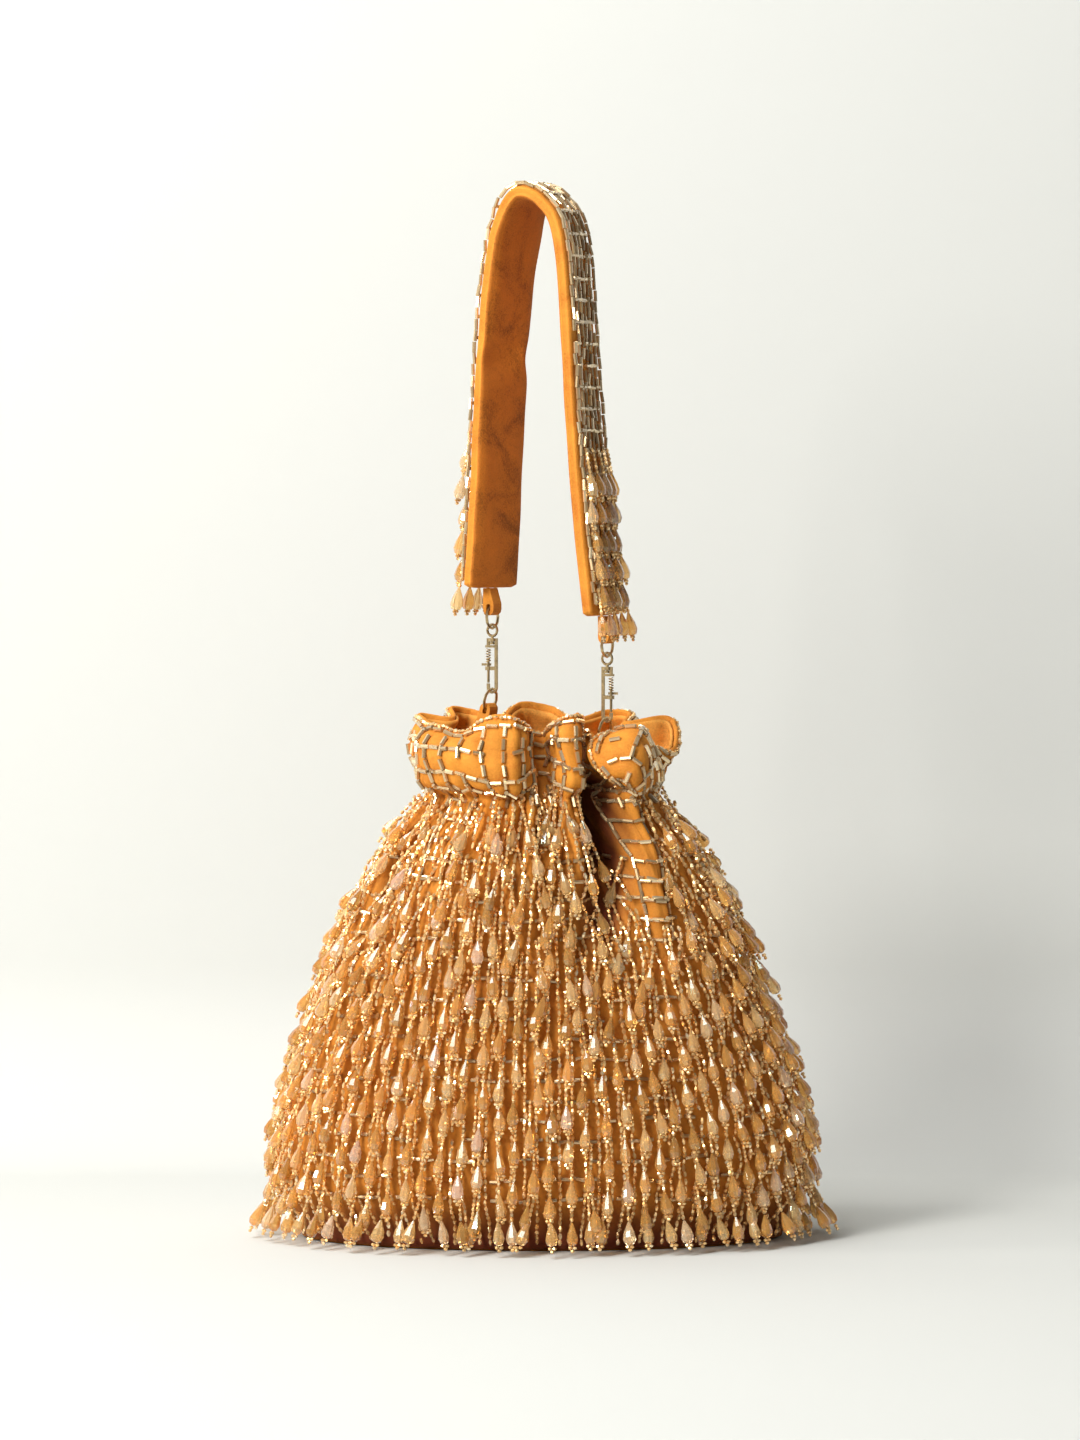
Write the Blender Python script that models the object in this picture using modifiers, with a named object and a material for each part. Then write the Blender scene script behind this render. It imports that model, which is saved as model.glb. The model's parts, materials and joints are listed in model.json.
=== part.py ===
"""Potli bag: a gathered velvet pouch with beaded tassels and a clip-on velvet handle.

Run with: blender --background --python part.py
Units are metres and +Z is up. The bag stands on its flat oval base at z = 0, its front looks
along -Y, and the handle stands up over the gathered mouth, turned a little about the vertical.
"""

import math

import bmesh
import bpy
from mathutils import Matrix, Vector

MM = 0.001

# Working gaps
GAP = 0.3 * MM

# Overall sizes. The handle's rise is counted from the line through both bag rings
BAG_WIDTH = 200.0 * MM
BAG_DEPTH = 116.0 * MM
BAG_HEIGHT = 199.0 * MM
HANDLE_RISE = 193.0 * MM

# Velvet outer, as shares of its height, half width and half depth. FOOT_ROW is its widest row
WALL_SHAPE = (
    (0.003, 0.90, 0.83), (0.02, 0.965, 0.94), (0.05, 1.0, 1.0), (0.181, 0.97, 0.975),
    (0.327, 0.90, 0.92), (0.472, 0.79, 0.835), (0.618, 0.665, 0.725), (0.724, 0.53, 0.62),
    (0.784, 0.42, 0.543), (0.834, 0.40, 0.526), (0.90, 0.44, 0.586), (1.0, 0.47, 0.62),
)
WALL_PROFILE = tuple(
    (z * BAG_HEIGHT, wide * BAG_WIDTH / 2, deep * BAG_DEPTH / 2) for z, wide, deep in WALL_SHAPE
)
FOOT_ROW = 2
FOOT_ROUND = WALL_PROFILE[FOOT_ROW][0]
COLUMNS = 54
VELVET_THICK = 1.5 * MM
LINING_THICK = 0.8 * MM
LINING_SKIP_ROWS = (3, 5, 7)
LINING_DROP = 1.2 * MM
MITER_LIMIT = 0.6

# Folds of the gathered ruffle: direction in degrees and how far out or in the rim lies there
RIM_FOLDS = (
    (0, 2 * MM), (13.3, 7 * MM), (33.3, -9 * MM), (60, 7 * MM), (80, 3 * MM), (93.3, -8 * MM),
    (106.7, 7 * MM), (126.7, 1 * MM), (146.7, -9 * MM), (166.7, 5 * MM), (180, 1 * MM),
    (200, 6 * MM), (233.3, 8 * MM), (260, 5 * MM), (273.3, -9 * MM), (286.7, 4 * MM),
    (300, 0 * MM), (313.3, 5 * MM), (333.3, 8 * MM), (353.3, -3 * MM),
)
# How much of the rim's folds is left at each share of the height
FOLD_SHARE = (
    (0.0, 0.0), (0.4, 0.0), (0.472, 0.04), (0.618, 0.14), (0.724, 0.28), (0.784, 0.36),
    (0.834, 0.42), (0.9, 0.75), (1.0, 1.0),
)

# Base
BASE_THICK = 2.0 * MM
BOARD_THICK = 2.5 * MM
BOARD_INSET = 3.0 * MM

# Bead fringe: rows of strung tassels, each hanging over the next one down
FRINGE_ROWS = 10
FRINGE_PITCH = 14.5 * MM
FRINGE_LENGTH = 21.0 * MM
FRINGE_CLEAR = 0.5 * MM
FRINGE_TOP_OUT = 0.45 * MM
FRINGE_TOP_THICK = 1.2 * MM
FRINGE_HEM_OUT = 4.4 * MM
TASSEL_OUT = 8.4 * MM
TASSEL_VALLEY_OUT = 5.6 * MM
TASSEL_RISE = 3.0 * MM

# Rings: outer diameter, wire and places in the handle's plane (along, height)
RING_OUTER = 10.0 * MM
RING_WIRE = 1.1 * MM
RING_SIDES = 12
RING_LEFT = (-22.5 * MM, BAG_HEIGHT + 1.5 * MM)
RING_RIGHT = (27.0 * MM, BAG_HEIGHT - 8.5 * MM)
STRAP_RING_OUTER = 9.5 * MM

# Fabric tabs that hold the rings
TAB_WIDTH = 6.0 * MM
TAB_THICK = 1.4 * MM
BAG_TAB_DROP_LEFT = 12.0 * MM
BAG_TAB_DROP_RIGHT = 16.0 * MM
STRAP_TAB_LEG = 7.0 * MM

# Handle strap: its middle line in the handle's own plane, from the left foot to the right one.
# Each row is (along, share of the rise from the strap's feet to its top)
HANDLE_TURN = 30.0
STRAP_TWIST = 10.0
STRAP_SHAPE = (
    (RING_LEFT[0], 0.0), (-20.6 * MM, 0.182), (-18.4 * MM, 0.4505), (-15.6 * MM, 0.72),
    (-12.2 * MM, 0.877), (-8.6 * MM, 0.965), (-4.2 * MM, 1.0), (2.0 * MM, 1.0),
    (8.6 * MM, 0.988), (13.2 * MM, 0.951), (15.6 * MM, 0.868), (16.6 * MM, 0.763),
    (19.2 * MM, 0.514), (22.4 * MM, 0.266), (RING_RIGHT[0], 0.0),
)
STRAP_STEPS = 25
STRAP_WIDTH = 28.0 * MM
STRAP_LAYER = 2.55 * MM
TWIST_FROM = 0.54
TWIST_TO = 0.81
STRAP_FRINGE_TALL = 68.0 * MM
STRAP_FRINGE_ROWS = 4
STRAP_FRINGE_OUT = 6.0 * MM
STRAP_FRINGE_ROOT = 1.0 * MM
STRAP_FRINGE_WIDTH = 25.0 * MM

# Clasp: a slim swivel snap hook, heights counted from the middle of its hook bowl
HOOK_IN = 1.2 * MM
CLASP_BAR = 1.0 * MM
HOOK_TIP = 1.6 * MM
GUIDE_FROM = 6.6 * MM
GUIDE_TALL = 1.4 * MM
SPRING_ROOM = 5.9 * MM
ARM_TALL = 0.9 * MM
CAP_TALL = 1.2 * MM
HEAD_ROOM = 1.4 * MM
BOLT_D = 1.0 * MM
BOLT_COLLAR_D = 2.2 * MM
BOLT_COLLAR_TALL = 0.9 * MM
BOLT_TAIL = 2.0 * MM
KNOB_OUT = 1.7 * MM
SPRING_WIRE = 0.4 * MM
SPRING_TURNS = 5
STEM_D = 1.2 * MM
STEM_HEAD_D = 2.2 * MM
STEM_HEAD_TALL = 0.8 * MM
EYE_OUTER = 5.4 * MM
STEM_IN_WIRE = 0.7

# Steps that the script takes along a line to read it
REACH_STEPS = 720
LEG_STEPS = 400
STRAP_STEP = 0.004

COLOURS = {
    "velvet": (0.72, 0.36, 0.03, 0.85, 0.0),
    "lining_satin": (0.62, 0.29, 0.04, 0.6, 0.0),
    "glass_beads": (0.80, 0.62, 0.36, 0.22, 0.0),
    "antique_gold": (0.72, 0.60, 0.38, 0.3, 1.0),
    "board": (0.30, 0.24, 0.18, 0.9, 0.0),
}


def clear_scene():
    for ob in list(bpy.data.objects):
        bpy.data.objects.remove(ob)


def collection(name):
    made = bpy.data.collections.new(name)
    bpy.context.scene.collection.children.link(made)
    return made


def material(name):
    found = bpy.data.materials.get(name)
    if found:
        return found
    red, green, blue, rough, metal = COLOURS[name]
    made = bpy.data.materials.new(name)
    made.use_nodes = True
    shader = made.node_tree.nodes["Principled BSDF"]
    shader.inputs["Base Color"].default_value = (red, green, blue, 1.0)
    shader.inputs["Roughness"].default_value = rough
    shader.inputs["Metallic"].default_value = metal
    return made


def add_mesh(name, mesh, mat, where, smooth=None):
    mesh.name = name
    ob = bpy.data.objects.new(name, mesh)
    mesh.materials.clear()
    mesh.materials.append(material(mat))
    if smooth is not None:
        mesh.shade_smooth()
        mesh.set_sharp_from_angle(angle=math.radians(smooth))
    where.objects.link(ob)
    return ob


def from_bmesh(name, bm, mat, where, smooth=None):
    mesh = bpy.data.meshes.new(name)
    bmesh.ops.recalc_face_normals(bm, faces=bm.faces)
    bm.to_mesh(mesh)
    bm.free()
    return add_mesh(name, mesh, mat, where, smooth)


def between(table, at):
    """Linear reading of a table of (position, value...) rows."""
    if at <= table[0][0]:
        return table[0][1:]
    for low, high in zip(table, table[1:]):
        if at <= high[0]:
            share = (at - low[0]) / (high[0] - low[0])
            return tuple(a + (b - a) * share for a, b in zip(low[1:], high[1:]))
    return table[-1][1:]


def fold_at(degrees):
    """How far out of the plain oval the rim lies in one direction."""
    points = RIM_FOLDS + ((RIM_FOLDS[0][0] + 360, RIM_FOLDS[0][1]),)
    at = degrees % 360
    for (low, a), (high, b) in zip(points, points[1:]):
        if low <= at <= high:
            share = 0.5 - 0.5 * math.cos(math.pi * (at - low) / (high - low))
            return a + (b - a) * share
    return 0.0


def wall(column, z, out=0.0):
    """A point of the velvet's outer face, moved out along the plain oval's normal."""
    turn = math.tau * column / COLUMNS
    wide, deep = between(WALL_PROFILE, z)
    normal = Vector((math.cos(turn) / wide, math.sin(turn) / deep, 0.0)).normalized()
    fold = fold_at(math.degrees(turn)) * between(FOLD_SHARE, z / BAG_HEIGHT)[0]
    return Vector((wide * math.cos(turn), deep * math.sin(turn), z)) + normal * (fold + out)


def wall_reach(direction, half, z, inward):
    """How far the wall is from the axis in one direction, over a strip of that half width."""
    side = direction.cross(Vector((0.0, 0.0, 1.0)))
    reach = []
    for step in range(REACH_STEPS):
        point = wall(COLUMNS * step / REACH_STEPS, z, -inward)
        if point.dot(direction) > 0 and abs(point.dot(side)) < half:
            reach.append(point.dot(direction))
    return min(reach)


def ring_loft(rings, floor=None):
    """An open or floored tube through closed rings of points, lowest ring first."""
    bm = bmesh.new()
    rows = [[bm.verts.new(p) for p in ring] for ring in rings]
    for low, high in zip(rows, rows[1:]):
        count = len(low)
        for i in range(count):
            j = (i + 1) % count
            bm.faces.new((low[i], low[j], high[j], high[i]))
    if floor:
        bm.faces.new(list(reversed(rows[0])))
    return bm


def shell(name, bm, thick, mat, where, smooth=60):
    ob = from_open(name, bm, mat, where, smooth)
    solid = ob.modifiers.new("Thickness", "SOLIDIFY")
    solid.thickness = thick
    solid.offset = -1.0
    return ob


def from_open(name, bm, mat, where, smooth):
    """An open surface keeps the face directions that it was lofted with."""
    mesh = bpy.data.meshes.new(name)
    bm.to_mesh(mesh)
    bm.free()
    return add_mesh(name, mesh, mat, where, smooth)


def make_velvet(parts):
    rings = [[wall(i, row[0]) for i in range(COLUMNS)] for row in WALL_PROFILE]
    return shell("velvet_body", ring_loft(rings), VELVET_THICK, "velvet", parts)


def wall_lean(z):
    """Length of the wall's slope for each unit of height, at its steeper side there."""
    lean = 0.0
    for low, high in zip(WALL_PROFILE, WALL_PROFILE[1:]):
        if low[0] >= FOOT_ROUND and low[0] <= z <= high[0]:
            lean = max(lean, abs(high[1] - low[1]) / (high[0] - low[0]))
    return math.sqrt(1 + lean * lean)


def inset_ring(points, inward):
    """A level ring moved in square to its own edges."""
    moved = []
    count = len(points)
    for i, point in enumerate(points):
        before = (point - points[i - 1]).normalized()
        after = (points[(i + 1) % count] - point).normalized()
        side = Vector((-before.y - after.y, before.x + after.x, 0.0)).normalized()
        share = max(side.dot(Vector((-before.y, before.x, 0.0))), MITER_LIMIT)
        moved.append(point + side * (inward / share))
    return moved


def make_lining(parts):
    floor_z = BASE_THICK + BOARD_THICK + 2 * GAP
    inward = VELVET_THICK + 2 * GAP
    rings = [inset_ring([wall(i, FOOT_ROUND) for i in range(COLUMNS)], inward + BOARD_INSET)]
    for point in rings[0]:
        point.z = floor_z
    for number, row in enumerate(WALL_PROFILE):
        if number >= FOOT_ROW and number not in LINING_SKIP_ROWS:
            ring = [wall(i, row[0]) for i in range(COLUMNS)]
            rings.append(inset_ring(ring, inward * wall_lean(row[0])))
    for point in rings[-1]:
        point.z -= LINING_DROP
    return shell("lining", ring_loft(rings, floor=True), LINING_THICK, "lining_satin", parts)


def oval_plate(name, half_wide, half_deep, low, thick, count, mat, where):
    bm = bmesh.new()
    bmesh.ops.create_cone(
        bm, cap_ends=True, cap_tris=False, segments=count,
        radius1=1.0, radius2=1.0, depth=thick,
    )
    stretch = Matrix.Diagonal((half_wide, half_deep, 1.0, 1.0))
    bmesh.ops.transform(bm, matrix=stretch, verts=bm.verts)
    ob = from_bmesh(name, bm, mat, where, 40)
    ob.location = (0.0, 0.0, low + thick / 2)
    return ob


def make_base(parts):
    low, wide, deep = WALL_PROFILE[0]
    inset = VELVET_THICK + GAP * 2
    oval_plate(
        "base_panel", wide - inset, deep - inset, 0.0, BASE_THICK, COLUMNS // 2, "velvet", parts
    )
    oval_plate(
        "base_board", wide - inset - BOARD_INSET / 2, deep - inset - BOARD_INSET / 2,
        BASE_THICK + GAP, BOARD_THICK, COLUMNS // 3, "board", parts,
    )


def hang(column, z, out):
    """A point of the fringe, which hangs straight down past the rounded foot of the velvet."""
    point = wall(column, max(z, FOOT_ROUND), out)
    point.z = z
    return point


def make_fringe_row(parts, row):
    """One round of strung tassels: a slanting skirt whose hem goes out at each tassel."""
    top = FRINGE_CLEAR + FRINGE_LENGTH + row * FRINGE_PITCH
    hem = top - FRINGE_LENGTH
    bm = bmesh.new()
    rings = [[], [], [], []]
    for i in range(COLUMNS):
        peak = (i + row) % 2 == 0
        tip = hem + (0.0 if peak else TASSEL_RISE)
        share = (top - tip) / FRINGE_LENGTH
        inner = FRINGE_TOP_OUT + (FRINGE_HEM_OUT - FRINGE_TOP_OUT) * share
        outer = TASSEL_OUT if peak else TASSEL_VALLEY_OUT
        rings[0].append(bm.verts.new(hang(i, top, FRINGE_TOP_OUT + FRINGE_TOP_THICK)))
        rings[1].append(bm.verts.new(hang(i, top, FRINGE_TOP_OUT)))
        rings[2].append(bm.verts.new(hang(i, tip, inner)))
        rings[3].append(bm.verts.new(hang(i, tip, outer)))
    for a in range(4):
        near, far = rings[a], rings[(a + 1) % 4]
        for i in range(COLUMNS):
            j = (i + 1) % COLUMNS
            bm.faces.new((near[i], near[j], far[j], far[i]))
    return from_bmesh(f"fringe_row_{row + 1:02d}", bm, "glass_beads", parts, 30)


def along(turn_degrees=HANDLE_TURN):
    """Direction of the handle's plane, seen from above."""
    turn = math.radians(turn_degrees)
    return Vector((math.cos(turn), -math.sin(turn), 0.0))


def across(turn_degrees=HANDLE_TURN):
    turn = math.radians(turn_degrees)
    return Vector((math.sin(turn), math.cos(turn), 0.0))


def ring_line(place):
    """Height of the line through both bag rings at one place along the handle's plane."""
    share = (place - RING_LEFT[0]) / (RING_RIGHT[0] - RING_LEFT[0])
    return RING_LEFT[1] + (RING_RIGHT[1] - RING_LEFT[1]) * share


def foot_rise():
    """Height of the strap's feet above the ring line: ring, clasp, strap ring and tab."""
    levels = clasp_levels(RING_LEFT)
    return levels["ring"] + (STRAP_RING_OUTER - RING_WIRE) / 2 + STRAP_TAB_LEG - RING_LEFT[1]


def strap_height(place, share):
    """World height of the strap's middle line, from its share of the rise."""
    foot = foot_rise()
    return ring_line(place) + foot + (HANDLE_RISE - foot) * share


def strap_line_point(at):
    """Catmull-Rom reading of the strap's middle line, with at from 0 to 1."""
    line = [Vector((place, strap_height(place, share))) for place, share in STRAP_SHAPE]
    ends = [line[0] * 2 - line[1]] + line + [line[-1] * 2 - line[-2]]
    spot = min(at, 0.999999) * (len(line) - 1)
    i = int(spot)
    t = spot - i
    a, b, c, d = ends[i:i + 4]
    return 0.5 * (
        2 * b + (c - a) * t + (2 * a - 5 * b + 4 * c - d) * t * t
        + (3 * b - a - 3 * c + d) * t ** 3
    )


def strap_station(at):
    """Middle point, direction across the strap and outward direction at one place."""
    flat = strap_line_point(at)
    step = strap_line_point(min(at + STRAP_STEP, 1.0)) - strap_line_point(max(at - STRAP_STEP, 0.0))
    step.normalize()
    foot = strap_height(flat.x, 0.0)
    share = (flat.y - foot) / (strap_height(flat.x, 1.0) - foot)
    lift = min(max((share - TWIST_FROM) / (TWIST_TO - TWIST_FROM), 0.0), 1.0)
    wide = across(HANDLE_TURN - STRAP_TWIST * lift)
    middle = along() * flat.x + Vector((0.0, 0.0, flat.y))
    outward = along() * -step.y + Vector((0.0, 0.0, step.x))
    return middle, wide, outward


def make_strap_layer(parts, name, side, mat):
    """One of the two strap layers. side is 1 for the beaded outer one and -1 for the inner."""
    bm = bmesh.new()
    rows = []
    for k in range(STRAP_STEPS + 1):
        middle, wide, outward = strap_station(k / STRAP_STEPS)
        base = middle + outward * (GAP / 2 * side)
        rows.append([bm.verts.new(base + wide * (STRAP_WIDTH / 2 * s)) for s in (-1, 1)])
    for low, high in zip(rows, rows[1:]):
        for corners in ((low[0], low[1], high[1]), (low[0], high[1], high[0])):
            bm.faces.new(corners if side < 0 else tuple(reversed(corners)))
    ob = from_open(name, bm, mat, parts, 60)
    solid = ob.modifiers.new("Thickness", "SOLIDIFY")
    solid.thickness = STRAP_LAYER
    solid.offset = 1.0
    return ob


def strap_share(height, right):
    """Place along the strap's line where one leg passes a height."""
    best, found = 1e9, 0.0
    for k in range(LEG_STEPS + 1):
        at = 0.5 + 0.5 * k / LEG_STEPS if right else 0.5 * k / LEG_STEPS
        off = abs(strap_line_point(at).y - height)
        if off < best:
            best, found = off, at
    return found


def make_strap_fringe(parts, name, right):
    """Tassel rows on the lower outer face of one leg, as one stepped solid."""
    foot = strap_line_point(1.0 if right else 0.0).y
    room = STRAP_FRINGE_TALL / STRAP_FRINGE_ROWS
    root = GAP * 1.5 + STRAP_LAYER + GAP
    inner, outer = [], []
    for k in range(STRAP_FRINGE_ROWS + 1):
        z = foot + k * room
        middle, _, outward = strap_station(strap_share(z, right))
        inner.append(middle + outward * root)
        if k:
            outer.append(middle + outward * (root + STRAP_FRINGE_ROOT))
        if k < STRAP_FRINGE_ROWS:
            outer.append(middle + outward * (root + STRAP_FRINGE_OUT))
    outline = inner + list(reversed(outer))
    bm = bmesh.new()
    half = across() * (STRAP_FRINGE_WIDTH / 2)
    face = bm.faces.new([bm.verts.new(p - half) for p in outline])
    made = bmesh.ops.extrude_face_region(bm, geom=[face])
    moved = [v for v in made["geom"] if isinstance(v, bmesh.types.BMVert)]
    bmesh.ops.translate(bm, vec=half * 2, verts=moved)
    return from_bmesh(name, bm, "glass_beads", parts, 30)


def ring_axis():
    """Line through both bag rings, which is also the handle's swing axis."""
    low = along() * RING_LEFT[0] + Vector((0.0, 0.0, RING_LEFT[1]))
    high = along() * RING_RIGHT[0] + Vector((0.0, 0.0, RING_RIGHT[1]))
    return low, high, (high - low).normalized()


def ring_up():
    """Direction from a bag ring's foot to its top. The rings stand square to the swing axis."""
    _, _, swing = ring_axis()
    return swing.cross(across()).normalized()


def ring_spot(ring, end):
    """Middle of a bag ring's wire at its top (end 1) or its foot (end -1)."""
    centre = along() * ring[0] + Vector((0.0, 0.0, ring[1]))
    return centre + ring_up() * ((RING_OUTER - RING_WIRE) / 2 * end)


def make_ring(parts, name, centre, axis, outer, wire):
    bm = bmesh.new()
    major = (outer - wire) / 2
    rings = []
    for k in range(RING_SIDES):
        turn = Matrix.Rotation(math.tau * k / RING_SIDES, 4, "Z")
        section = []
        for s in range(6):
            a = math.tau * s / 6
            spot = Vector((major + wire / 2 * math.cos(a), 0.0, wire / 2 * math.sin(a)))
            section.append(bm.verts.new(turn @ spot))
        rings.append(section)
    for k in range(RING_SIDES):
        near, far = rings[k], rings[(k + 1) % RING_SIDES]
        for s in range(6):
            t = (s + 1) % 6
            bm.faces.new((near[s], far[s], far[t], near[t]))
    ob = from_bmesh(name, bm, "antique_gold", parts, 80)
    ob.rotation_mode = "QUATERNION"
    ob.rotation_quaternion = axis.to_track_quat("Z", "Y")
    ob.location = centre
    return ob


def arc(centre, radius, start, stop, steps):
    """Points of an arc in the plane, angles in degrees."""
    points = []
    for k in range(steps + 1):
        a = math.radians(start + (stop - start) * k / steps)
        points.append((centre[0] + radius * math.cos(a), centre[1] + radius * math.sin(a)))
    return points


def flat_outline(name, loops, thick, frame, mat, where):
    """A flat outline with holes, extruded to a plate and placed by a matrix."""
    curve = bpy.data.curves.new(name, "CURVE")
    curve.dimensions = "2D"
    curve.fill_mode = "BOTH"
    curve.extrude = thick / 2
    for loop in loops:
        spline = curve.splines.new("POLY")
        spline.points.add(len(loop) - 1)
        for point, (x, y) in zip(spline.points, loop):
            point.co = (x, y, 0.0, 1.0)
        spline.use_cyclic_u = True
    ob = bpy.data.objects.new(name + "_outline", curve)
    where.objects.link(ob)
    bpy.context.view_layer.update()
    mesh = bpy.data.meshes.new_from_object(ob.evaluated_get(bpy.context.evaluated_depsgraph_get()))
    bpy.data.objects.remove(ob)
    bm = bmesh.new()
    bm.from_mesh(mesh)
    bpy.data.meshes.remove(mesh)
    bmesh.ops.remove_doubles(bm, verts=bm.verts, dist=0.00001)
    made = from_bmesh(name, bm, mat, where, 40)
    made.matrix_world = frame
    return made


def upright_frame(centre, right, normal):
    """Local X along right, local Y up and local Z along the plate's normal."""
    up = normal.cross(right)
    frame = Matrix((right, up, normal)).transposed().to_4x4()
    frame.translation = centre
    return frame


def tab_loops(hole_low, hole_high, leg):
    """Side outline of a fabric tab folded round a ring's wire, with its hole."""
    half = RING_WIRE / 2 + GAP
    outer = half + TAB_THICK
    hole = arc((0.0, hole_high - half), half, 0, 180, 5)
    hole += arc((0.0, hole_low + half), half, 180, 360, 5)
    rim = arc((0.0, hole_high - half), outer, 0, 180, 6)
    if leg[1] > 0:
        rim = arc((0.0, hole_low + half), outer, 180, 360, 6)
        rim += [(outer, hole_high), (leg[0] + TAB_THICK, leg[1]), (leg[0] - TAB_THICK, leg[1])]
        rim += [(-outer, hole_high)]
    else:
        rim += [(-outer, hole_low), (leg[0] - TAB_THICK, leg[1]), (leg[0] + TAB_THICK, leg[1])]
        rim += [(outer, hole_low)]
    return [rim, hole]


def sagitta(outer):
    """How far a ring's wire bows within the width of its tab."""
    radius = (outer - RING_WIRE) / 2
    return radius - math.sqrt(radius ** 2 - (TAB_WIDTH / 2) ** 2)


def make_bag_tab(parts, name, ring, leg_down):
    """Fabric loop round the foot of a bag ring, whose leg runs down to the mouth's wall."""
    _, _, swing = ring_axis()
    side = 1 if ring[0] > 0 else -1
    right = swing * side
    centre = ring_spot(ring, -1)
    direction = along() * side
    covers = VELVET_THICK + LINING_THICK + 3 * GAP
    foot_z = centre.z - leg_down
    root = direction * (wall_reach(direction, TAB_WIDTH, foot_z, covers) - TAB_THICK - GAP)
    root.z = foot_z
    leg = root - centre
    low = -RING_WIRE / 2 - GAP
    high = sagitta(RING_OUTER) + RING_WIRE / 2 + GAP
    loops = tab_loops(low, high, (leg.dot(right), leg.dot(ring_up())))
    frame = upright_frame(centre, right, right.cross(ring_up()))
    return flat_outline(name, loops, TAB_WIDTH, frame, "velvet", parts)


def clasp_levels(ring):
    """World heights of one clasp chain from the bag ring up to the strap's end."""
    bowl = ring_spot(ring, 1).z - RING_WIRE / 2 - GAP + HOOK_IN
    arm = GUIDE_FROM + GUIDE_TALL + GAP + BOLT_COLLAR_TALL + SPRING_ROOM
    cap = arm + ARM_TALL + HEAD_ROOM
    eye = bowl + cap + CAP_TALL + GAP + EYE_OUTER / 2
    eye_wire = (EYE_OUTER - RING_WIRE) / 2
    ring_low = eye + eye_wire - RING_WIRE - GAP
    strap_ring = ring_low + (STRAP_RING_OUTER - RING_WIRE) / 2
    return {"bowl": bowl, "arm": arm, "cap": cap, "eye": eye, "ring": strap_ring}


def make_strap_tab(parts, name, spot, levels, foot_point):
    """Fabric loop sewn into a strap end, round the top of the strap ring."""
    major = (STRAP_RING_OUTER - RING_WIRE) / 2
    low = -sagitta(STRAP_RING_OUTER) - RING_WIRE / 2 - GAP
    high = RING_WIRE / 2 + GAP
    centre = Vector((spot.x, spot.y, levels["ring"] + major))
    shift = (foot_point - centre).dot(along())
    loops = tab_loops(low, high, (shift, foot_point.z - GAP - centre.z))
    frame = upright_frame(centre, along(), along().cross(Vector((0.0, 0.0, 1.0))))
    return flat_outline(name, loops, TAB_WIDTH, frame, "velvet", parts)


def cylinder(bm, diameter, low, high, x=0.0, count=8):
    """A closed upright rod added to a bmesh, between two heights."""
    place = Matrix.Translation((x, 0.0, (low + high) / 2))
    bmesh.ops.create_cone(
        bm, cap_ends=True, cap_tris=False, segments=count,
        radius1=diameter / 2, radius2=diameter / 2, depth=high - low, matrix=place,
    )


def cutter_rod(where, name, diameter, low, high, x):
    bm = bmesh.new()
    cylinder(bm, diameter, low, high, x)
    ob = from_bmesh(name, bm, "antique_gold", where)
    ob.hide_render = True
    ob.display_type = "WIRE"
    return ob


def boolean(ob, other, operation):
    mod = ob.modifiers.new(operation.title(), "BOOLEAN")
    mod.operation = operation
    mod.solver = "EXACT"
    mod.object = other
    return mod


def make_clasp_body(parts, cutters, name, place, levels):
    """Frame of the snap: spine, hook, bolt guide, spring arm and swivel cap."""
    side = HOOK_IN + CLASP_BAR
    arm, cap = levels["arm"], levels["cap"]
    top = cap + CAP_TALL
    barrel = BOLT_COLLAR_D / 2
    mid = HOOK_IN + CLASP_BAR / 2
    outer = [(-side, top), (-side, 0.0)] + arc((0.0, 0.0), side, 180, 360, 10)[1:]
    outer += [(side, HOOK_TIP), (HOOK_IN, HOOK_TIP)]
    outer += arc((0.0, 0.0), HOOK_IN, 360, 180, 8)
    outer += [(-HOOK_IN, GUIDE_FROM), (mid + barrel, GUIDE_FROM)]
    outer += [(mid + barrel, GUIDE_FROM + GUIDE_TALL), (-HOOK_IN, GUIDE_FROM + GUIDE_TALL)]
    outer += [(-HOOK_IN, arm), (mid + barrel, arm), (mid + barrel, arm + ARM_TALL)]
    outer += [(side, arm + ARM_TALL), (side, top)]
    window = [(-HOOK_IN, arm + ARM_TALL), (HOOK_IN, arm + ARM_TALL), (HOOK_IN, cap), (-HOOK_IN, cap)]
    body = flat_outline(name, [outer, window], CLASP_BAR, place["plate"], "antique_gold", parts)
    guide = cutter_rod(cutters, name + "_guide", 2 * barrel, GUIDE_FROM, GUIDE_FROM + GUIDE_TALL, mid)
    swivel = cutter_rod(cutters, name + "_swivel", 2 * HOOK_IN + CLASP_BAR, cap, top, 0.0)
    bore = cutter_rod(
        cutters, name + "_bore", BOLT_D + 2 * GAP, GUIDE_FROM - GAP, GUIDE_FROM + GUIDE_TALL + GAP, mid
    )
    eye_bore = cutter_rod(cutters, name + "_eye_bore", STEM_D + 2 * GAP, cap - GAP, top + GAP, 0.0)
    for cutter, operation in (
        (guide, "UNION"), (swivel, "UNION"), (bore, "DIFFERENCE"), (eye_bore, "DIFFERENCE")
    ):
        cutter.matrix_world = place["upright"]
        boolean(body, cutter, operation)
    return body


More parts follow.
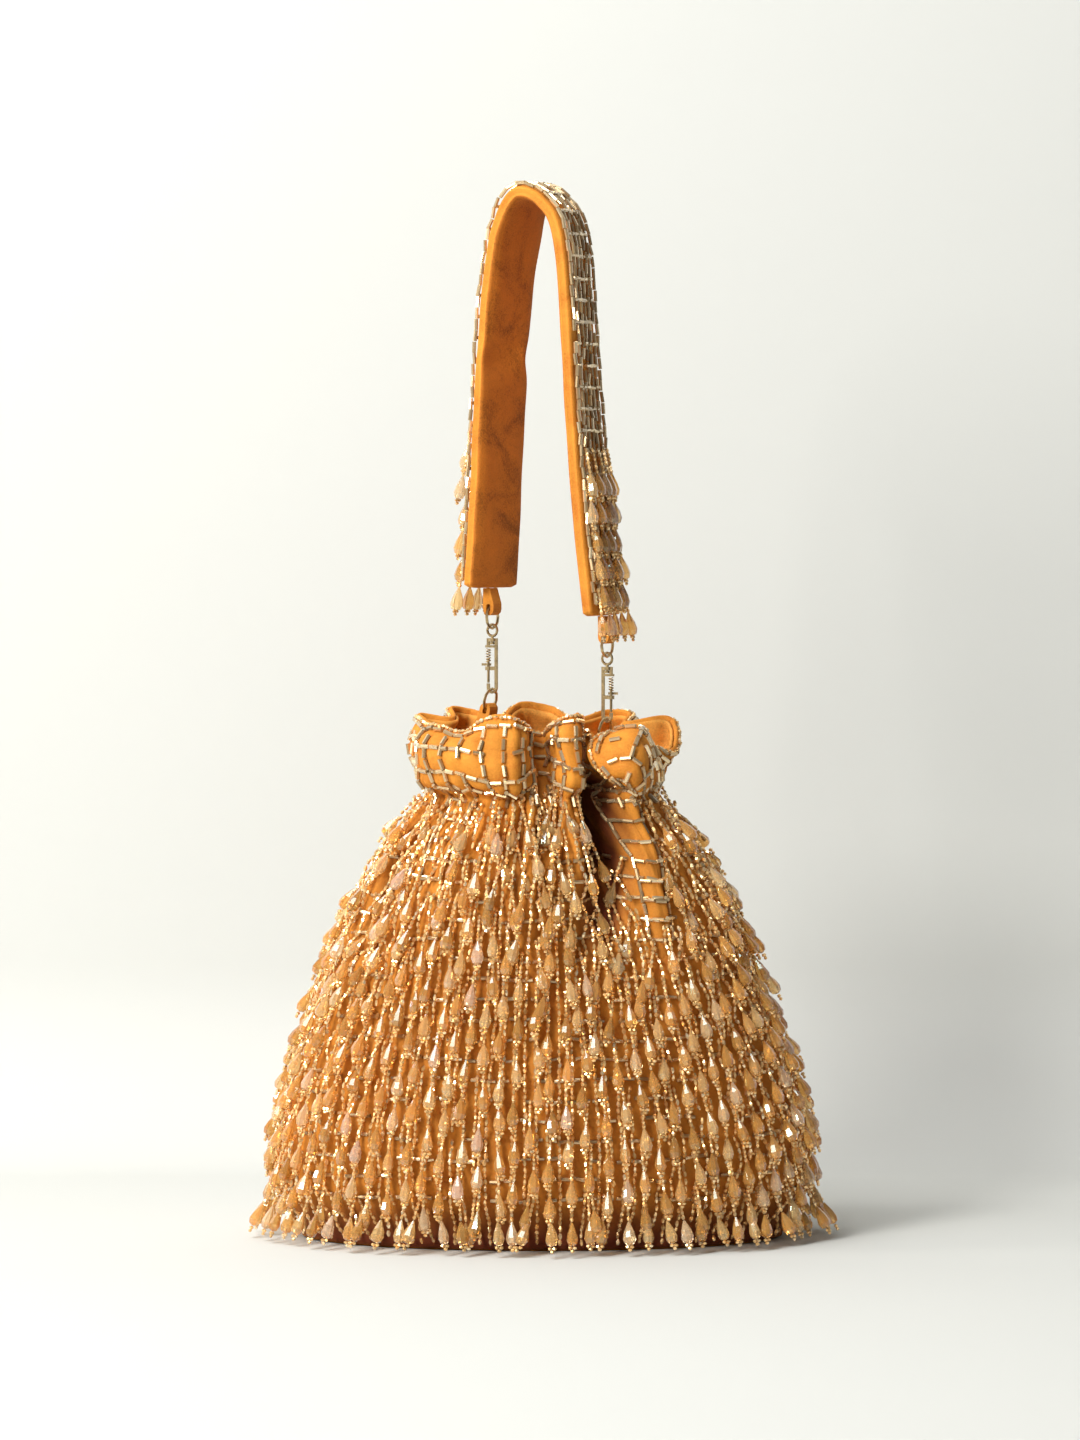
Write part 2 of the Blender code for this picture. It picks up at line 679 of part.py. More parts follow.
def make_clasp_bolt(parts, name, place, levels):
    """Sliding bolt that shuts the hook, with its collar and thumb knob."""
    mid = HOOK_IN + CLASP_BAR / 2
    collar = GUIDE_FROM + GUIDE_TALL + GAP
    bm = bmesh.new()
    radii = (
        (BOLT_D / 2, HOOK_TIP + GAP), (BOLT_D / 2, collar), (BOLT_COLLAR_D / 2, collar),
        (BOLT_COLLAR_D / 2, collar + BOLT_COLLAR_TALL), (BOLT_D / 2, collar + BOLT_COLLAR_TALL),
        (BOLT_D / 2, collar + BOLT_COLLAR_TALL + BOLT_TAIL),
    )
    rings = []
    for radius, z in radii:
        ring = []
        for k in range(10):
            a = math.tau * k / 10
            ring.append(bm.verts.new((mid + radius * math.cos(a), radius * math.sin(a), z)))
        rings.append(ring)
    for low, high in zip(rings, rings[1:]):
        for k in range(10):
            j = (k + 1) % 10
            bm.faces.new((low[k], low[j], high[j], high[k]))
    bm.faces.new(list(reversed(rings[0])))
    bm.faces.new(rings[-1])
    side = max(bm.faces, key=lambda f: f.calc_center_median().x if is_collar(f, collar) else -1)
    made = bmesh.ops.extrude_face_region(bm, geom=[side])
    moved = [v for v in made["geom"] if isinstance(v, bmesh.types.BMVert)]
    bmesh.ops.translate(bm, vec=(KNOB_OUT, 0.0, 0.0), verts=moved)
    bmesh.ops.delete(bm, geom=[side], context="FACES")
    ob = from_bmesh(name, bm, "antique_gold", parts, 40)
    ob.matrix_world = place["upright"]
    return ob


def is_collar(face, collar):
    """Whether a face stands on the bolt's collar."""
    middle = face.calc_center_median().z
    return collar < middle < collar + BOLT_COLLAR_TALL and abs(face.normal.z) < 0.5


def make_clasp_spring(parts, name, place, levels):
    mid = HOOK_IN + CLASP_BAR / 2
    low = GUIDE_FROM + GUIDE_TALL + GAP + BOLT_COLLAR_TALL + GAP + SPRING_WIRE / 2
    high = levels["arm"] - GAP - SPRING_WIRE / 2
    radius = (BOLT_COLLAR_D - SPRING_WIRE) / 2
    steps = SPRING_TURNS * 6
    curve = bpy.data.curves.new(name, "CURVE")
    curve.dimensions = "3D"
    curve.bevel_depth = SPRING_WIRE / 2
    curve.bevel_resolution = 0
    curve.use_fill_caps = True
    spline = curve.splines.new("POLY")
    spline.points.add(steps)
    for k, point in enumerate(spline.points):
        a = math.tau * SPRING_TURNS * k / steps
        z = low + (high - low) * k / steps
        point.co = (mid + radius * math.cos(a), radius * math.sin(a), z, 1.0)
    curve.materials.append(material("antique_gold"))
    ob = bpy.data.objects.new(name, curve)
    parts.objects.link(ob)
    ob.matrix_world = place["upright"]
    return ob


def make_clasp_eye(parts, cutters, name, place, levels):
    """Swivel eye: a ring whose headed stem turns in the clasp's cap."""
    eye = levels["eye"] - levels["bowl"]
    ob = make_ring(parts, name, Vector((0.0, 0.0, 0.0)), Vector((0.0, 1.0, 0.0)), EYE_OUTER, RING_WIRE)
    turn = ob.rotation_quaternion.to_matrix().to_4x4()
    ob.data.transform(Matrix.Translation((0.0, 0.0, eye)) @ turn)
    ob.rotation_quaternion = (1.0, 0.0, 0.0, 0.0)
    ob.matrix_world = place["eye"]
    head = levels["cap"] - GAP
    bm = bmesh.new()
    cylinder(bm, STEM_D, head - STEM_HEAD_TALL / 2, eye - EYE_OUTER / 2 + RING_WIRE * STEM_IN_WIRE, 0.0, 10)
    stem = from_bmesh(name + "_stem", bm, "antique_gold", cutters)
    knob = cutter_rod(cutters, name + "_head", STEM_HEAD_D, head - STEM_HEAD_TALL, head, 0.0)
    for other in (stem, knob):
        other.hide_render = True
        other.display_type = "WIRE"
        other.matrix_world = place["eye"]
        boolean(ob, other, "UNION")
    return ob


def make_clasp(parts, cutters, side, ring, foot):
    """One snap hook with its eye, strap ring and strap tab, above one bag ring."""
    levels = clasp_levels(ring)
    spot = ring_spot(ring, 1)
    bowl = Vector((spot.x, spot.y, levels["bowl"]))
    hook_right = along() * (1 if side == "right" else -1)
    up = Vector((0.0, 0.0, 1.0))
    upright = Matrix((hook_right, up.cross(hook_right), up)).transposed().to_4x4()
    upright.translation = bowl
    eye_frame = Matrix((along(), up.cross(along()), up)).transposed().to_4x4()
    eye_frame.translation = bowl
    plate = upright_frame(bowl, hook_right, hook_right.cross(up))
    place = {"plate": plate, "upright": upright, "eye": eye_frame}
    make_clasp_body(parts, cutters, f"clasp_body_{side}", place, levels)
    make_clasp_bolt(parts, f"clasp_bolt_{side}", place, levels)
    make_clasp_spring(parts, f"clasp_spring_{side}", place, levels)
    make_clasp_eye(parts, cutters, f"clasp_eye_{side}", place, levels)
    ring_centre = Vector((spot.x, spot.y, levels["ring"]))
    make_ring(parts, f"strap_ring_{side}", ring_centre, along(), STRAP_RING_OUTER, RING_WIRE)
    foot_point = along() * foot.x + Vector((0.0, 0.0, foot.y))
    make_strap_tab(parts, f"strap_tab_{side}", spot, levels, foot_point)


def main():
    clear_scene()
    parts = collection("potli_bag")
    cutters = collection("cutters")
    make_velvet(parts)
    make_lining(parts)
    make_base(parts)
    for row in range(FRINGE_ROWS):
        make_fringe_row(parts, row)
    make_strap_layer(parts, "strap_face", 1, "velvet")
    make_strap_layer(parts, "strap_lining", -1, "velvet")
    make_strap_fringe(parts, "strap_fringe_left", right=False)
    make_strap_fringe(parts, "strap_fringe_right", right=True)
    low, high, swing = ring_axis()
    make_ring(parts, "bag_ring_left", low, swing, RING_OUTER, RING_WIRE)
    make_ring(parts, "bag_ring_right", high, swing, RING_OUTER, RING_WIRE)
    make_bag_tab(parts, "bag_tab_left", RING_LEFT, BAG_TAB_DROP_LEFT)
    make_bag_tab(parts, "bag_tab_right", RING_RIGHT, BAG_TAB_DROP_RIGHT)
    make_clasp(parts, cutters, "left", RING_LEFT, strap_line_point(0.0))
    make_clasp(parts, cutters, "right", RING_RIGHT, strap_line_point(1.0))


main()
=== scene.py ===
"""Dresses the potli bag: gathered velvet, couched beads, strung tassels, strap and fittings."""

import json
import math

import bmesh
import bpy
import numpy as np
from bpy.props import FloatProperty, FloatVectorProperty, IntProperty, PointerProperty
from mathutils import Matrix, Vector

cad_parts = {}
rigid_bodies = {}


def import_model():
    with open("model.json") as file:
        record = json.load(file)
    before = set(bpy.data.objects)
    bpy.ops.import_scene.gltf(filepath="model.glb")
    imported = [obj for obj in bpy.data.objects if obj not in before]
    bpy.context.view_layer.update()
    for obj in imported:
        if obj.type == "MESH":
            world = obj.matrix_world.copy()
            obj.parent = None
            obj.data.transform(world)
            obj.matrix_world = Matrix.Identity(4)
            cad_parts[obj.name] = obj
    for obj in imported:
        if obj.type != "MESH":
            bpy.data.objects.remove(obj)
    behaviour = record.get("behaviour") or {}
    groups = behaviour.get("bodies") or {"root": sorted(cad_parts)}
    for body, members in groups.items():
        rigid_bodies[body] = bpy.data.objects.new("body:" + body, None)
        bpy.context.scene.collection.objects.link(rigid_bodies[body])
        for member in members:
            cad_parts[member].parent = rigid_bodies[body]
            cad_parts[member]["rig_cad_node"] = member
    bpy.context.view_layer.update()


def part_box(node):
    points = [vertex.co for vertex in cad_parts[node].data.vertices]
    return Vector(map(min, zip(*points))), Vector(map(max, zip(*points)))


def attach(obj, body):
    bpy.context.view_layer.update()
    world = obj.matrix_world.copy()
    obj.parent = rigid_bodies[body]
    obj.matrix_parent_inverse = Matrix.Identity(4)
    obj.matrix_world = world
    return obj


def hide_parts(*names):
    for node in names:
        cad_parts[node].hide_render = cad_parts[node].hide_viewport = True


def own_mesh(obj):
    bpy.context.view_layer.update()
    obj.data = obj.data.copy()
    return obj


bl_info = {
    "name": "Potli Bag",
    "version": (1, 0, 0),
    "blender": (4, 5, 0),
    "location": "View3D > Sidebar > Potli",
    "description": "Builds the finish of a beaded velvet potli bag over its packed frame",
    "category": "Object",
}

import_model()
MM = 0.001

# Velvet wall, close to the frame's: height, half width and half depth in millimetres
WALL = (
    (0.6, 90.0, 48.0), (6.0, 90.5, 48.5), (13.0, 94.0, 52.0), (22.0, 98.0, 56.5),
    (36.0, 97.5, 57.0), (65.0, 90.5, 54.0), (94.0, 80.0, 49.0), (123.0, 68.5, 43.0), (144.0, 57.0, 38.0),
    (154.0, 48.0, 34.0), (161.0, 41.0, 30.5), (170.0, 38.0, 29.0),
)
NECK_Z = 166.0
RUFFLE_LENGTH = 34.0
RIM_AT = NECK_Z + RUFFLE_LENGTH
# The wall is oval, so a length round it is this share of its half width for each radian
GIRTH_SHARE = 0.88
# Folds of the neck, close to the frame's: direction in degrees and offset of the rim
RIM_FOLDS = (
    (0.0, 2.0), (13.3, 7.0), (33.3, -9.0), (60.0, 7.0), (80.0, 3.0), (93.3, -8.0), (106.7, 7.0),
    (126.7, 1.0), (146.7, -9.0), (166.7, 5.0), (180.0, 1.0), (200.0, 6.0), (233.3, 8.0),
    (260.0, 5.0), (273.3, -9.0), (286.7, 3.0), (300.0, -14.0), (313.3, 5.0), (333.3, 8.0),
    (353.3, -3.0),
)
# Share of those folds at each height
FOLD_SHARE = ((0, 0), (80, 0), (94, 0.05), (123, 0.18), (144, 0.36), (156, 0.46), (166, 0.52),
              (180, 0.8), (202, 1.0))
# The ruffle's folds: direction of the neck in degrees, then the places that the cloth passes on
# its way up from the neck: belly, crest and rim. The lobe at 314 to 338 degrees flops over
RUFFLE_FOLDS = (
    (0, (45, -1, 174), (49, 0, 181), (51, 1, 185)),
    (9, (46, 7, 175), (50, 10, 184), (51, 11, 190)),
    (21, (43, 15, 176), (47, 19, 186), (46, 20, 194)),
    (33, (33, 17, 178), (33, 18, 187), (32, 18, 192)),
    (45, (34, 30, 176), (36, 33, 187), (33, 30, 195)),
    (60, (24, 36, 176), (25, 38, 187), (23, 34, 196)),
    (72, (12, 25, 178), (12, 25, 187), (12, 24, 193)),
    (84, (5, 36, 175), (4, 39, 187), (4, 35, 197)),
    (98, (-7, 37, 175), (-8, 39, 188), (-8, 35, 198.5)),
    (110, (-15, 27, 178), (-16, 27, 188), (-15, 26, 194)),
    (124, (-27, 33, 175), (-29, 35, 187), (-27, 32, 196.5)),
    (140, (-35, 27, 175), (-38, 28, 187), (-36, 25, 197.5)),
    (152, (-34, 15, 178), (-35, 15, 187), (-35, 14, 194)),
    (166, (-46, 9, 175), (-49, 10, 186), (-46, 9, 195.5)),
    (182, (-45, -2, 176), (-47, -3, 187), (-44, -4, 194)),
    (200, (-46, -14, 173), (-47.5, -14, 185), (-43, -14, 193.5)),
    (220, (-40, -29, 171), (-42, -30, 184), (-37, -25, 193)),
    (235, (-29, -37, 172), (-31, -38, 184), (-27, -31, 191)),
    (248, (-17, -42, 169), (-20, -42, 183), (-18, -35, 196.5)),
    (258, (-9, -40, 170), (-8, -41, 183), (-9, -35, 196)),
    (264, (-5, -31, 173), (-4.5, -31, 184), (-6, -28, 193)),
    (268, (-5, -18, 176), (-5, -14, 185), (-5, -12, 191)),
    (272, (1, -15, 177), (0, -11, 184), (0, -8, 189)),
    (277, (4, -29, 175), (3, -22, 187), (3, -15, 193)),
    (283, (11, -36, 173), (7, -32, 187), (9, -25, 196.5)),
    (289, (16, -32, 173), (14, -28, 187), (15, -23, 196.5)),
    (294, (14, -17, 175), (14, -13, 184), (14, -10, 191)),
    (300, (19, -11, 173), (19, -8, 182), (18, -6, 189)),
    (307, (26, -20, 170), (25, -20, 176), (24, -20, 180)),
    (314, (34, -29, 169), (31, -35, 173), (26, -31, 173)),
    (322, (37, -28, 170), (33.5, -36, 182), (18.5, -31, 178)),
    (330, (40.5, -21, 172), (36.5, -30, 189), (17.5, -24, 185.5)),
    (338, (43, -14, 174), (38, -19, 191.5), (27, -12, 189)),
    (344, (42.5, -10, 174), (42, -11, 183), (40, -9, 185)),
    (351, (43, -7, 173), (46, -7, 179), (47.5, -6, 182)),
)
# Tassels in one round, couched strings round the body, and the height where both are even
COLUMN_COUNT = 74
STRING_COUNT = 110
EVEN_AT = 40.0
# Height over which the deep pleat carries no tassels
PLEAT_BARE = 126.0
# Widest height of the wall, where the lowest tassels' tips clear it
WIDEST_AT = 19.0
# Strips of plain velvet with rungs: direction, slant, lowest, highest and half width
LADDERS = ((314.0, -0.125, 114.0, 171.0, 4.2), (227.0, 0.1, 136.0, 167.0, 4.6))
RIDGE_HEIGHT = 5.0
PLEAT_DEPTH = 21.0
RUNG_PITCH = 7.2
# Heights of the short extra rows under the neck
NECK_ROOTS = (163.0, 170.0)
RUFFLE_COLUMNS = 52
GRID_LEVEL = 190.0
# Pitch of the couched grid, also along the strap
GRID_CELL = 8.0
RUFFLE_LEVELS = 4
# Hem between the couched grid and the rim, and the height where the grid starts
GRID_HEM = 3.0
GRID_FOOT = 162.0
TASSEL_ROWS = 10
ROW_PITCH = 14.5
TASSEL_LENGTH = 21.4
LOWEST_TIP = 1.1
STRUNG_SEEDS = 6
# Unevenness of the couched beads: turn of a bead, and its shift in millimetres
BEAD_TILT = 0.07
BEAD_SHIFT = 0.12
# How far the tassels' tips stand off the cloth, and how far they sway sideways
TASSEL_REACH = 6.0
LOWEST_REACH = 11.0
STRAP_REACH = 4.2
LOOSE = 1.2
LOWEST_LOOSE = 2.6
# Height of the strap's lowest tassel roots over their tips' end, and the pitch of its rows
STRAP_ROOT = 9.0
STRAP_PITCH = 10.5

# Turn of the whole handle about the upright axis, in degrees
HANDLE_TURN = 30.0
# The strap's middle line, left to right: place along the handle and height, in millimetres
STRAP_LINE = (
    (-22.5, 243.0), (-20.6, 270.0), (-18.4, 310.0), (-15.4, 350.0), (-12.0, 371.5),
    (-8.4, 384.0), (-4.8, 389.4), (-0.4, 389.6), (4.6, 386.0), (9.4, 380.0), (12.6, 368.0),
    (14.2, 350.0), (17.0, 312.0), (20.6, 274.0), (26.0, 233.0),
)
# Turn of the strap's width, in degrees, at shares of its length
STRAP_TURNS = ((0.0, 38.0), (0.3, 37.0), (0.45, 27.0), (0.55, 20.0), (0.8, 19.0), (1.0, 25.0))
# Where a crease pinches the strap, in millimetres from its left end
PINCH_AT = 86.0

# Painted shade: colour of the velvet deep in a fold, in the hollows, under the beads and at the foot
FOLD_SHADE_COLOUR = (0.12, 0.022, 0.006)

# Camera, in metres, with its lens in millimetres
CAMERA_PLACE = (-0.0008, -2.198, 0.278)
CAMERA_AIM = (-0.0008, 0.0, 0.1935)
CAMERA_LENS = 147.0
# Lamps: name, place, aim, width, watts and colour
LAMPS = (
    ("key", (-1.0, -1.42, 0.86), (0.0, 0.0, 0.13), 0.62, 27.5, (1.0, 0.985, 0.95)),
    ("side", (-1.6, -0.3, 0.75), (0.0, 0.0, 0.12), 0.4, 10.0, (1.0, 0.98, 0.94)),
    ("glint", (-0.9, -1.2, 1.15), (0.0, 0.0, 0.2), 0.4, 3.6, (1.0, 1.0, 1.0)),
    ("backdrop", (-0.5, -0.45, 1.4), (0.15, 0.27, 0.5), 0.9, 16.5, (1.0, 1.0, 1.0)),
)
ROOM_LIGHT = 0.15
# Paper ground, in metres: its near edge, its back wall, the wall's height, half width and bend
GROUND_NEAR = -1.6
GROUND_FAR = 0.27
GROUND_RISE = 1.6
GROUND_WIDE = 3.0
GROUND_BEND = 0.08
BEND_STEPS = 12


def length_property(name, value, text):
    return FloatProperty(name=name, description=text, default=value * MM, unit="LENGTH")


def colour_property(name, value, text):
    return FloatVectorProperty(name=name, description=text, default=value, subtype="COLOR")


class PotliSizes(bpy.types.PropertyGroup):
    velvet_thick: length_property("Velvet thickness", 1.5, "Thickness of the velvet shell")
    wall_columns: IntProperty(
        name="Velvet points", description="Points round the velvet", default=560,
        subtype="UNSIGNED",
    )
    seed_size: length_property("Seed bead", 1.6, "Width of a seed bead")
    bugle_length: length_property("Bugle bead", 4.1, "Length of a bugle bead")
    bugle_size: length_property("Bugle width", 1.45, "Width of a bugle bead")
    drop_length: length_property("Drop bead", 8.8, "Length of a drop bead")
    drop_size: length_property("Drop width", 4.9, "Width of a drop bead")
    strap_width: length_property("Strap width", 28.0, "Width of the strap")
    strap_thick: length_property("Strap thickness", 5.6, "Thickness of the padded strap")
    seed: IntProperty(
        name="Seed", description="Start of the random draws", default=7, subtype="UNSIGNED",
    )


class PotliColours(bpy.types.PropertyGroup):
    velvet: colour_property("Velvet", (0.65, 0.243, 0.027), "Lit pile of the velvet")
    velvet_deep: colour_property("Velvet shade", (0.46, 0.128, 0.010), "Crushed pile of the velvet")
    # Inner face of the strap: its own plain pile, darkened further as painted shade of the face turned
    # from the lamps
    strap_inner_pile_and_shade: colour_property("Strap inside", (0.58, 0.185, 0.020), "Inner face of the strap")
    lining: colour_property("Lining", (0.78, 0.34, 0.06), "Lining inside the mouth")
    seed_gold: colour_property("Seed beads", (1.0, 0.63, 0.255), "Gold-lined seeds and bugles")
    bugle_bronze: colour_property("Bugle beads", (0.66, 0.47, 0.25), "Bronze-lined bugles")
    drop_amber: colour_property("Drop beads", (1.0, 0.555, 0.152), "Amber glass of the drops")
    metal: colour_property("Fittings", (0.52, 0.38, 0.20), "Rings and snap hooks")
    ground: colour_property("Floor", (0.600, 0.606, 0.580), "Floor and backdrop")


def sizes():
    return bpy.context.scene.potli_sizes


def bugle_measures():
    """Length and width of a bugle, in millimetres."""
    return sizes().bugle_length / MM, sizes().bugle_size / MM


def seed_width():
    return sizes().seed_size / MM


def colours():
    return bpy.context.scene.potli_colours


def rgba(colour):
    return (*colour, 1.0)


# Materials


def new_material(name):
    made = bpy.data.materials.new(name)
    made.use_nodes = True
    nodes = made.node_tree.nodes
    return made, nodes, made.node_tree.links, nodes["Principled BSDF"]


def set_inputs(node, **values):
    """Sets a node's inputs by name, with underscores for the spaces."""
    for name, value in values.items():
        node.inputs[name.replace("_", " ")].default_value = value


def noise(nodes, links, **values):
    """A noise texture on object coordinates."""
    place = nodes.new("ShaderNodeTexCoord")
    node = nodes.new("ShaderNodeTexNoise")
    links.new(place.outputs["Object"], node.inputs["Vector"])
    set_inputs(node, **values)
    return node


def attribute(nodes, name):
    """The value that each point of the mesh holds under a name."""
    node = nodes.new("ShaderNodeAttribute")
    node.attribute_name = name
    return node.outputs["Fac"]


def ramp(nodes, links, factor, stops):
    node = nodes.new("ShaderNodeValToRGB")
    links.new(factor, node.inputs["Fac"])
    node.color_ramp.elements[0].position = stops[0][0]
    node.color_ramp.elements[0].color = stops[0][1]
    node.color_ramp.elements[-1].position = stops[-1][0]
    node.color_ramp.elements[-1].color = stops[-1][1]
    for place, colour in stops[1:-1]:
        node.color_ramp.elements.new(place).color = colour
    return node


def bump(nodes, links, shader, height, strength, distance):
    node = nodes.new("ShaderNodeBump")
    set_inputs(node, Strength=strength, Distance=distance)
    links.new(height, node.inputs["Height"])
    links.new(node.outputs["Normal"], shader.inputs["Normal"])


def roughness(nodes, links, shader, factor, start, end):
    """Roughness that runs from start to end as the factor rises."""
    node = nodes.new("ShaderNodeMapRange")
    links.new(factor, node.inputs["Value"])
    set_inputs(node, To_Min=start, To_Max=end)
    links.new(node.outputs["Result"], shader.inputs["Roughness"])


def shade(colour, factor):
    return rgba(tuple(min(1.0, c * factor) for c in colour))


def velvet_material(name, light, deep, sheen=0.7):
    """Short pile: crushed patches, a fine pile grain and a soft sheen at grazing angles, with painted
    shade mixed in wherever the mesh holds a fold attribute.
    """
    made, nodes, links, shader = new_material(name)
    patches = noise(nodes, links, Scale=55.0, Detail=6.0, Roughness=0.62, Distortion=0.8)
    pile = noise(nodes, links, Scale=1500.0, Detail=2.0, Roughness=0.7)
    mixed = nodes.new("ShaderNodeMath")
    mixed.operation = "MULTIPLY_ADD"
    links.new(pile.outputs["Fac"], mixed.inputs[0])
    mixed.inputs[1].default_value = 0.5
    links.new(patches.outputs["Fac"], mixed.inputs[2])
    tone = ramp(nodes, links, mixed.outputs[0], (
        (0.52, rgba(deep)), (0.72, shade(light, 0.86)), (0.98, shade(light, 1.1)),
    ))
    # Painted shade: the fold attribute mixes the pile towards the painted fold shade colour
    depth = nodes.new("ShaderNodeMix")
    depth.data_type = "RGBA"
    links.new(attribute(nodes, "fold"), depth.inputs[0])
    links.new(tone.outputs["Color"], depth.inputs[6])
    depth.inputs[7].default_value = rgba(FOLD_SHADE_COLOUR)
    links.new(depth.outputs[2], shader.inputs["Base Color"])
    set_inputs(
        shader, Roughness=0.78, Specular_IOR_Level=0.25, Sheen_Weight=sheen, Sheen_Roughness=0.42,
        Sheen_Tint=shade(light, 1.15),
    )
    bump(nodes, links, shader, mixed.outputs[0], 0.5, 0.0008)
    return made


def bead_metal_material(name, colour):
    """Metal-lined glass beads: a bright lining under a clear coat, each a little different."""
    made, nodes, links, shader = new_material(name)
    tone = attribute(nodes, "tone")
    mixed = ramp(nodes, links, tone, (
        (0.0, shade(colour, 0.6)), (0.3, shade(colour, 0.92)), (0.7, rgba(colour)),
        (1.0, rgba((1.0, 0.80, 0.50))),
    ))
    links.new(mixed.outputs["Color"], shader.inputs["Base Color"])
    roughness(nodes, links, shader, tone, 0.34, 0.16)
    set_inputs(shader, Metallic=0.72, Coat_Weight=0.7, Coat_Roughness=0.06)
    return made


def drop_material(name, colour):
    """Faceted amber glass with a thin rainbow coat."""
    made, nodes, links, shader = new_material(name)
    mixed = ramp(nodes, links, attribute(nodes, "tone"), (
        (0.0, shade(colour, 0.72)), (0.45, rgba(colour)), (0.85, rgba((1.0, 0.72, 0.34))),
        (1.0, rgba((1.0, 0.74, 0.55))),
    ))
    links.new(mixed.outputs["Color"], shader.inputs["Base Color"])
    set_inputs(
        shader, Roughness=0.07, IOR=1.56, Transmission_Weight=0.7, Coat_Weight=1.0,
        Coat_Roughness=0.03, Thin_Film_Thickness=360.0, Thin_Film_IOR=1.45,
    )
    return made


def metal_material(name, colour):
    made, nodes, links, shader = new_material(name)
    wear = noise(nodes, links, Scale=420.0, Detail=5.0, Roughness=0.6).outputs["Fac"]
    tone = ramp(nodes, links, wear, (
        (0.3, shade(colour, 0.45)), (0.5, rgba(colour)), (0.75, shade(colour, 1.18)),
    ))
    links.new(tone.outputs["Color"], shader.inputs["Base Color"])
    set_inputs(shader, Metallic=1.0)
    roughness(nodes, links, shader, wear, 0.42, 0.2)
    bump(nodes, links, shader, wear, 0.15, 0.0001)
    return made


def board_material(name):
    made, nodes, links, shader = new_material(name)
    grain = noise(nodes, links, Scale=900.0, Detail=4.0)
    tone = ramp(nodes, links, grain.outputs["Fac"], (
        (0.3, rgba((0.18, 0.14, 0.10))), (0.7, rgba((0.34, 0.28, 0.2))),
    ))
    links.new(tone.outputs["Color"], shader.inputs["Base Color"])
    set_inputs(shader, Roughness=0.9)
    return made


def ground_material(name, colour):
    """Matt paper with faint clouding."""
    made, nodes, links, shader = new_material(name)
    grain = noise(nodes, links, Scale=3.0, Detail=2.0)
    tone = ramp(nodes, links, grain.outputs["Fac"], (
        (0.2, shade(colour, 0.985)), (0.8, rgba(colour)),
    ))
    links.new(tone.outputs["Color"], shader.inputs["Base Color"])
    set_inputs(shader, Roughness=0.9, Specular_IOR_Level=0.1)
    return made


MATERIALS = {}


def material(name):
    """Each material is made once, from its own function."""
    if name in MATERIALS:
        return MATERIALS[name]
    c = colours()
    makers = {
        "velvet": lambda: velvet_material(name, c.velvet, c.velvet_deep),
        # The strap's inner face: velvet that is darker partly as painted shade
        "strap_pile_and_shade_velvet": lambda: velvet_material(name, c.strap_inner_pile_and_shade, c.strap_inner_pile_and_shade * 0.35, 0.35),
        "lining": lambda: velvet_material(name, c.lining, c.lining * 0.55, 0.3),
        "seed_beads": lambda: bead_metal_material(name, c.seed_gold),
        "bugle_beads": lambda: bead_metal_material(name, c.bugle_bronze),
        "drop_beads": lambda: drop_material(name, c.drop_amber),
        "fittings": lambda: metal_material(name, c.metal),
        "board": lambda: board_material(name),
        "ground": lambda: ground_material(name, c.ground),
    }
    MATERIALS[name] = makers[name]()
    return MATERIALS[name]


# The velvet's surface. Lengths here are millimetres and directions are radians


def smooth_table(table, column, at, reach=5.0):
    """A table read with its corners rounded over a short reach."""
    places = np.array([row[0] for row in table], float)
    values = np.array([row[column] for row in table], float)
    at = np.asarray(at, float)
    total = np.zeros_like(at)
    for shift in np.linspace(-reach, reach, 7):
        total += np.interp(at + shift, places, values)
    return total / 7


def round_table(table, degrees, sharp=1.0):
    """A ring table of (degrees, value), eased between rows. A low sharp narrows the valleys."""
    places = [row[0] for row in table] + [table[0][0] + 360.0]
    values = [row[1] for row in table] + [table[0][1]]
    at = np.mod(degrees - table[0][0], 360.0) + table[0][0]
    result = np.zeros_like(at)
    for low, high, a, b in zip(places, places[1:], values, values[1:]):
        inside = (at >= low) & (at <= high)
        t = (at[inside] - low) / (high - low)
        rising = t if b >= a else 1.0 - t
        share = np.sin(0.5 * np.pi * rising ** sharp) ** (1.0 + sharp * 0.6)
        result[inside] = min(a, b) + abs(b - a) * share
    return result


def fine_pleats(turn, s):
    """Small gathers: cusped valleys and round ridges, deepest at the neck."""
    wander = 1.9 * np.sin(3 * turn + 0.4) + 1.1 * np.sin(5 * turn + 2.0)
    ridge = np.abs(np.sin(19 * turn + wander + 0.012 * (s - 160))) ** 0.7 - 0.62
    second = np.abs(np.sin(31 * turn - wander + 1.0 + 0.02 * (s - 150))) - 0.6
    uneven = 1.0 + 0.35 * np.sin(4 * turn + 1.0)
    heights = (60, 95, 130, 150, 162, 172, 184, 200)
    amount = np.interp(s, heights, (0, 0.5, 1.6, 2.8, 3.2, 1.6, 0.4, 0.2))
    return amount * uneven * (ridge + 0.5 * second)


def soft_bumps(turn, s):
    """Uneven stuffing of the body and crushed places of the ruffle."""
    low = np.sin(2 * turn + 0.021 * s) * np.sin(0.05 * s + 3 * turn)
    high = np.sin(9 * turn + 0.13 * s) * np.sin(0.21 * s - 4 * turn + 1.3)
    crushed = np.interp(s, (120, 165, 180, 200), (0.1, 0.6, 1.3, 0.9))
    return 0.9 * low * np.clip(s / 60, 0, 1) + crushed * high


def left_dent(turn, s):
    """The slanting hollow under the left of the neck."""
    across = np.degrees(turn) % 360 - 203.0 - 0.2 * (150.0 - s)
    share = np.interp(s, (103, 118, 150, 164), (0, 1, 1, 0.3))
    return -9.0 * share * np.exp(-(across / 5.5) ** 2)


def front_swell(turn, s):
    """The gathered panel that stands forward between the left hollow and the deep pleat."""
    across = (np.degrees(turn) % 360 - 257.0) / 24.0
    share = np.interp(s, (100, 128, 158, 168), (0, 1, 1, 0.5))
    return 4.5 * share * np.exp(-across ** 4)


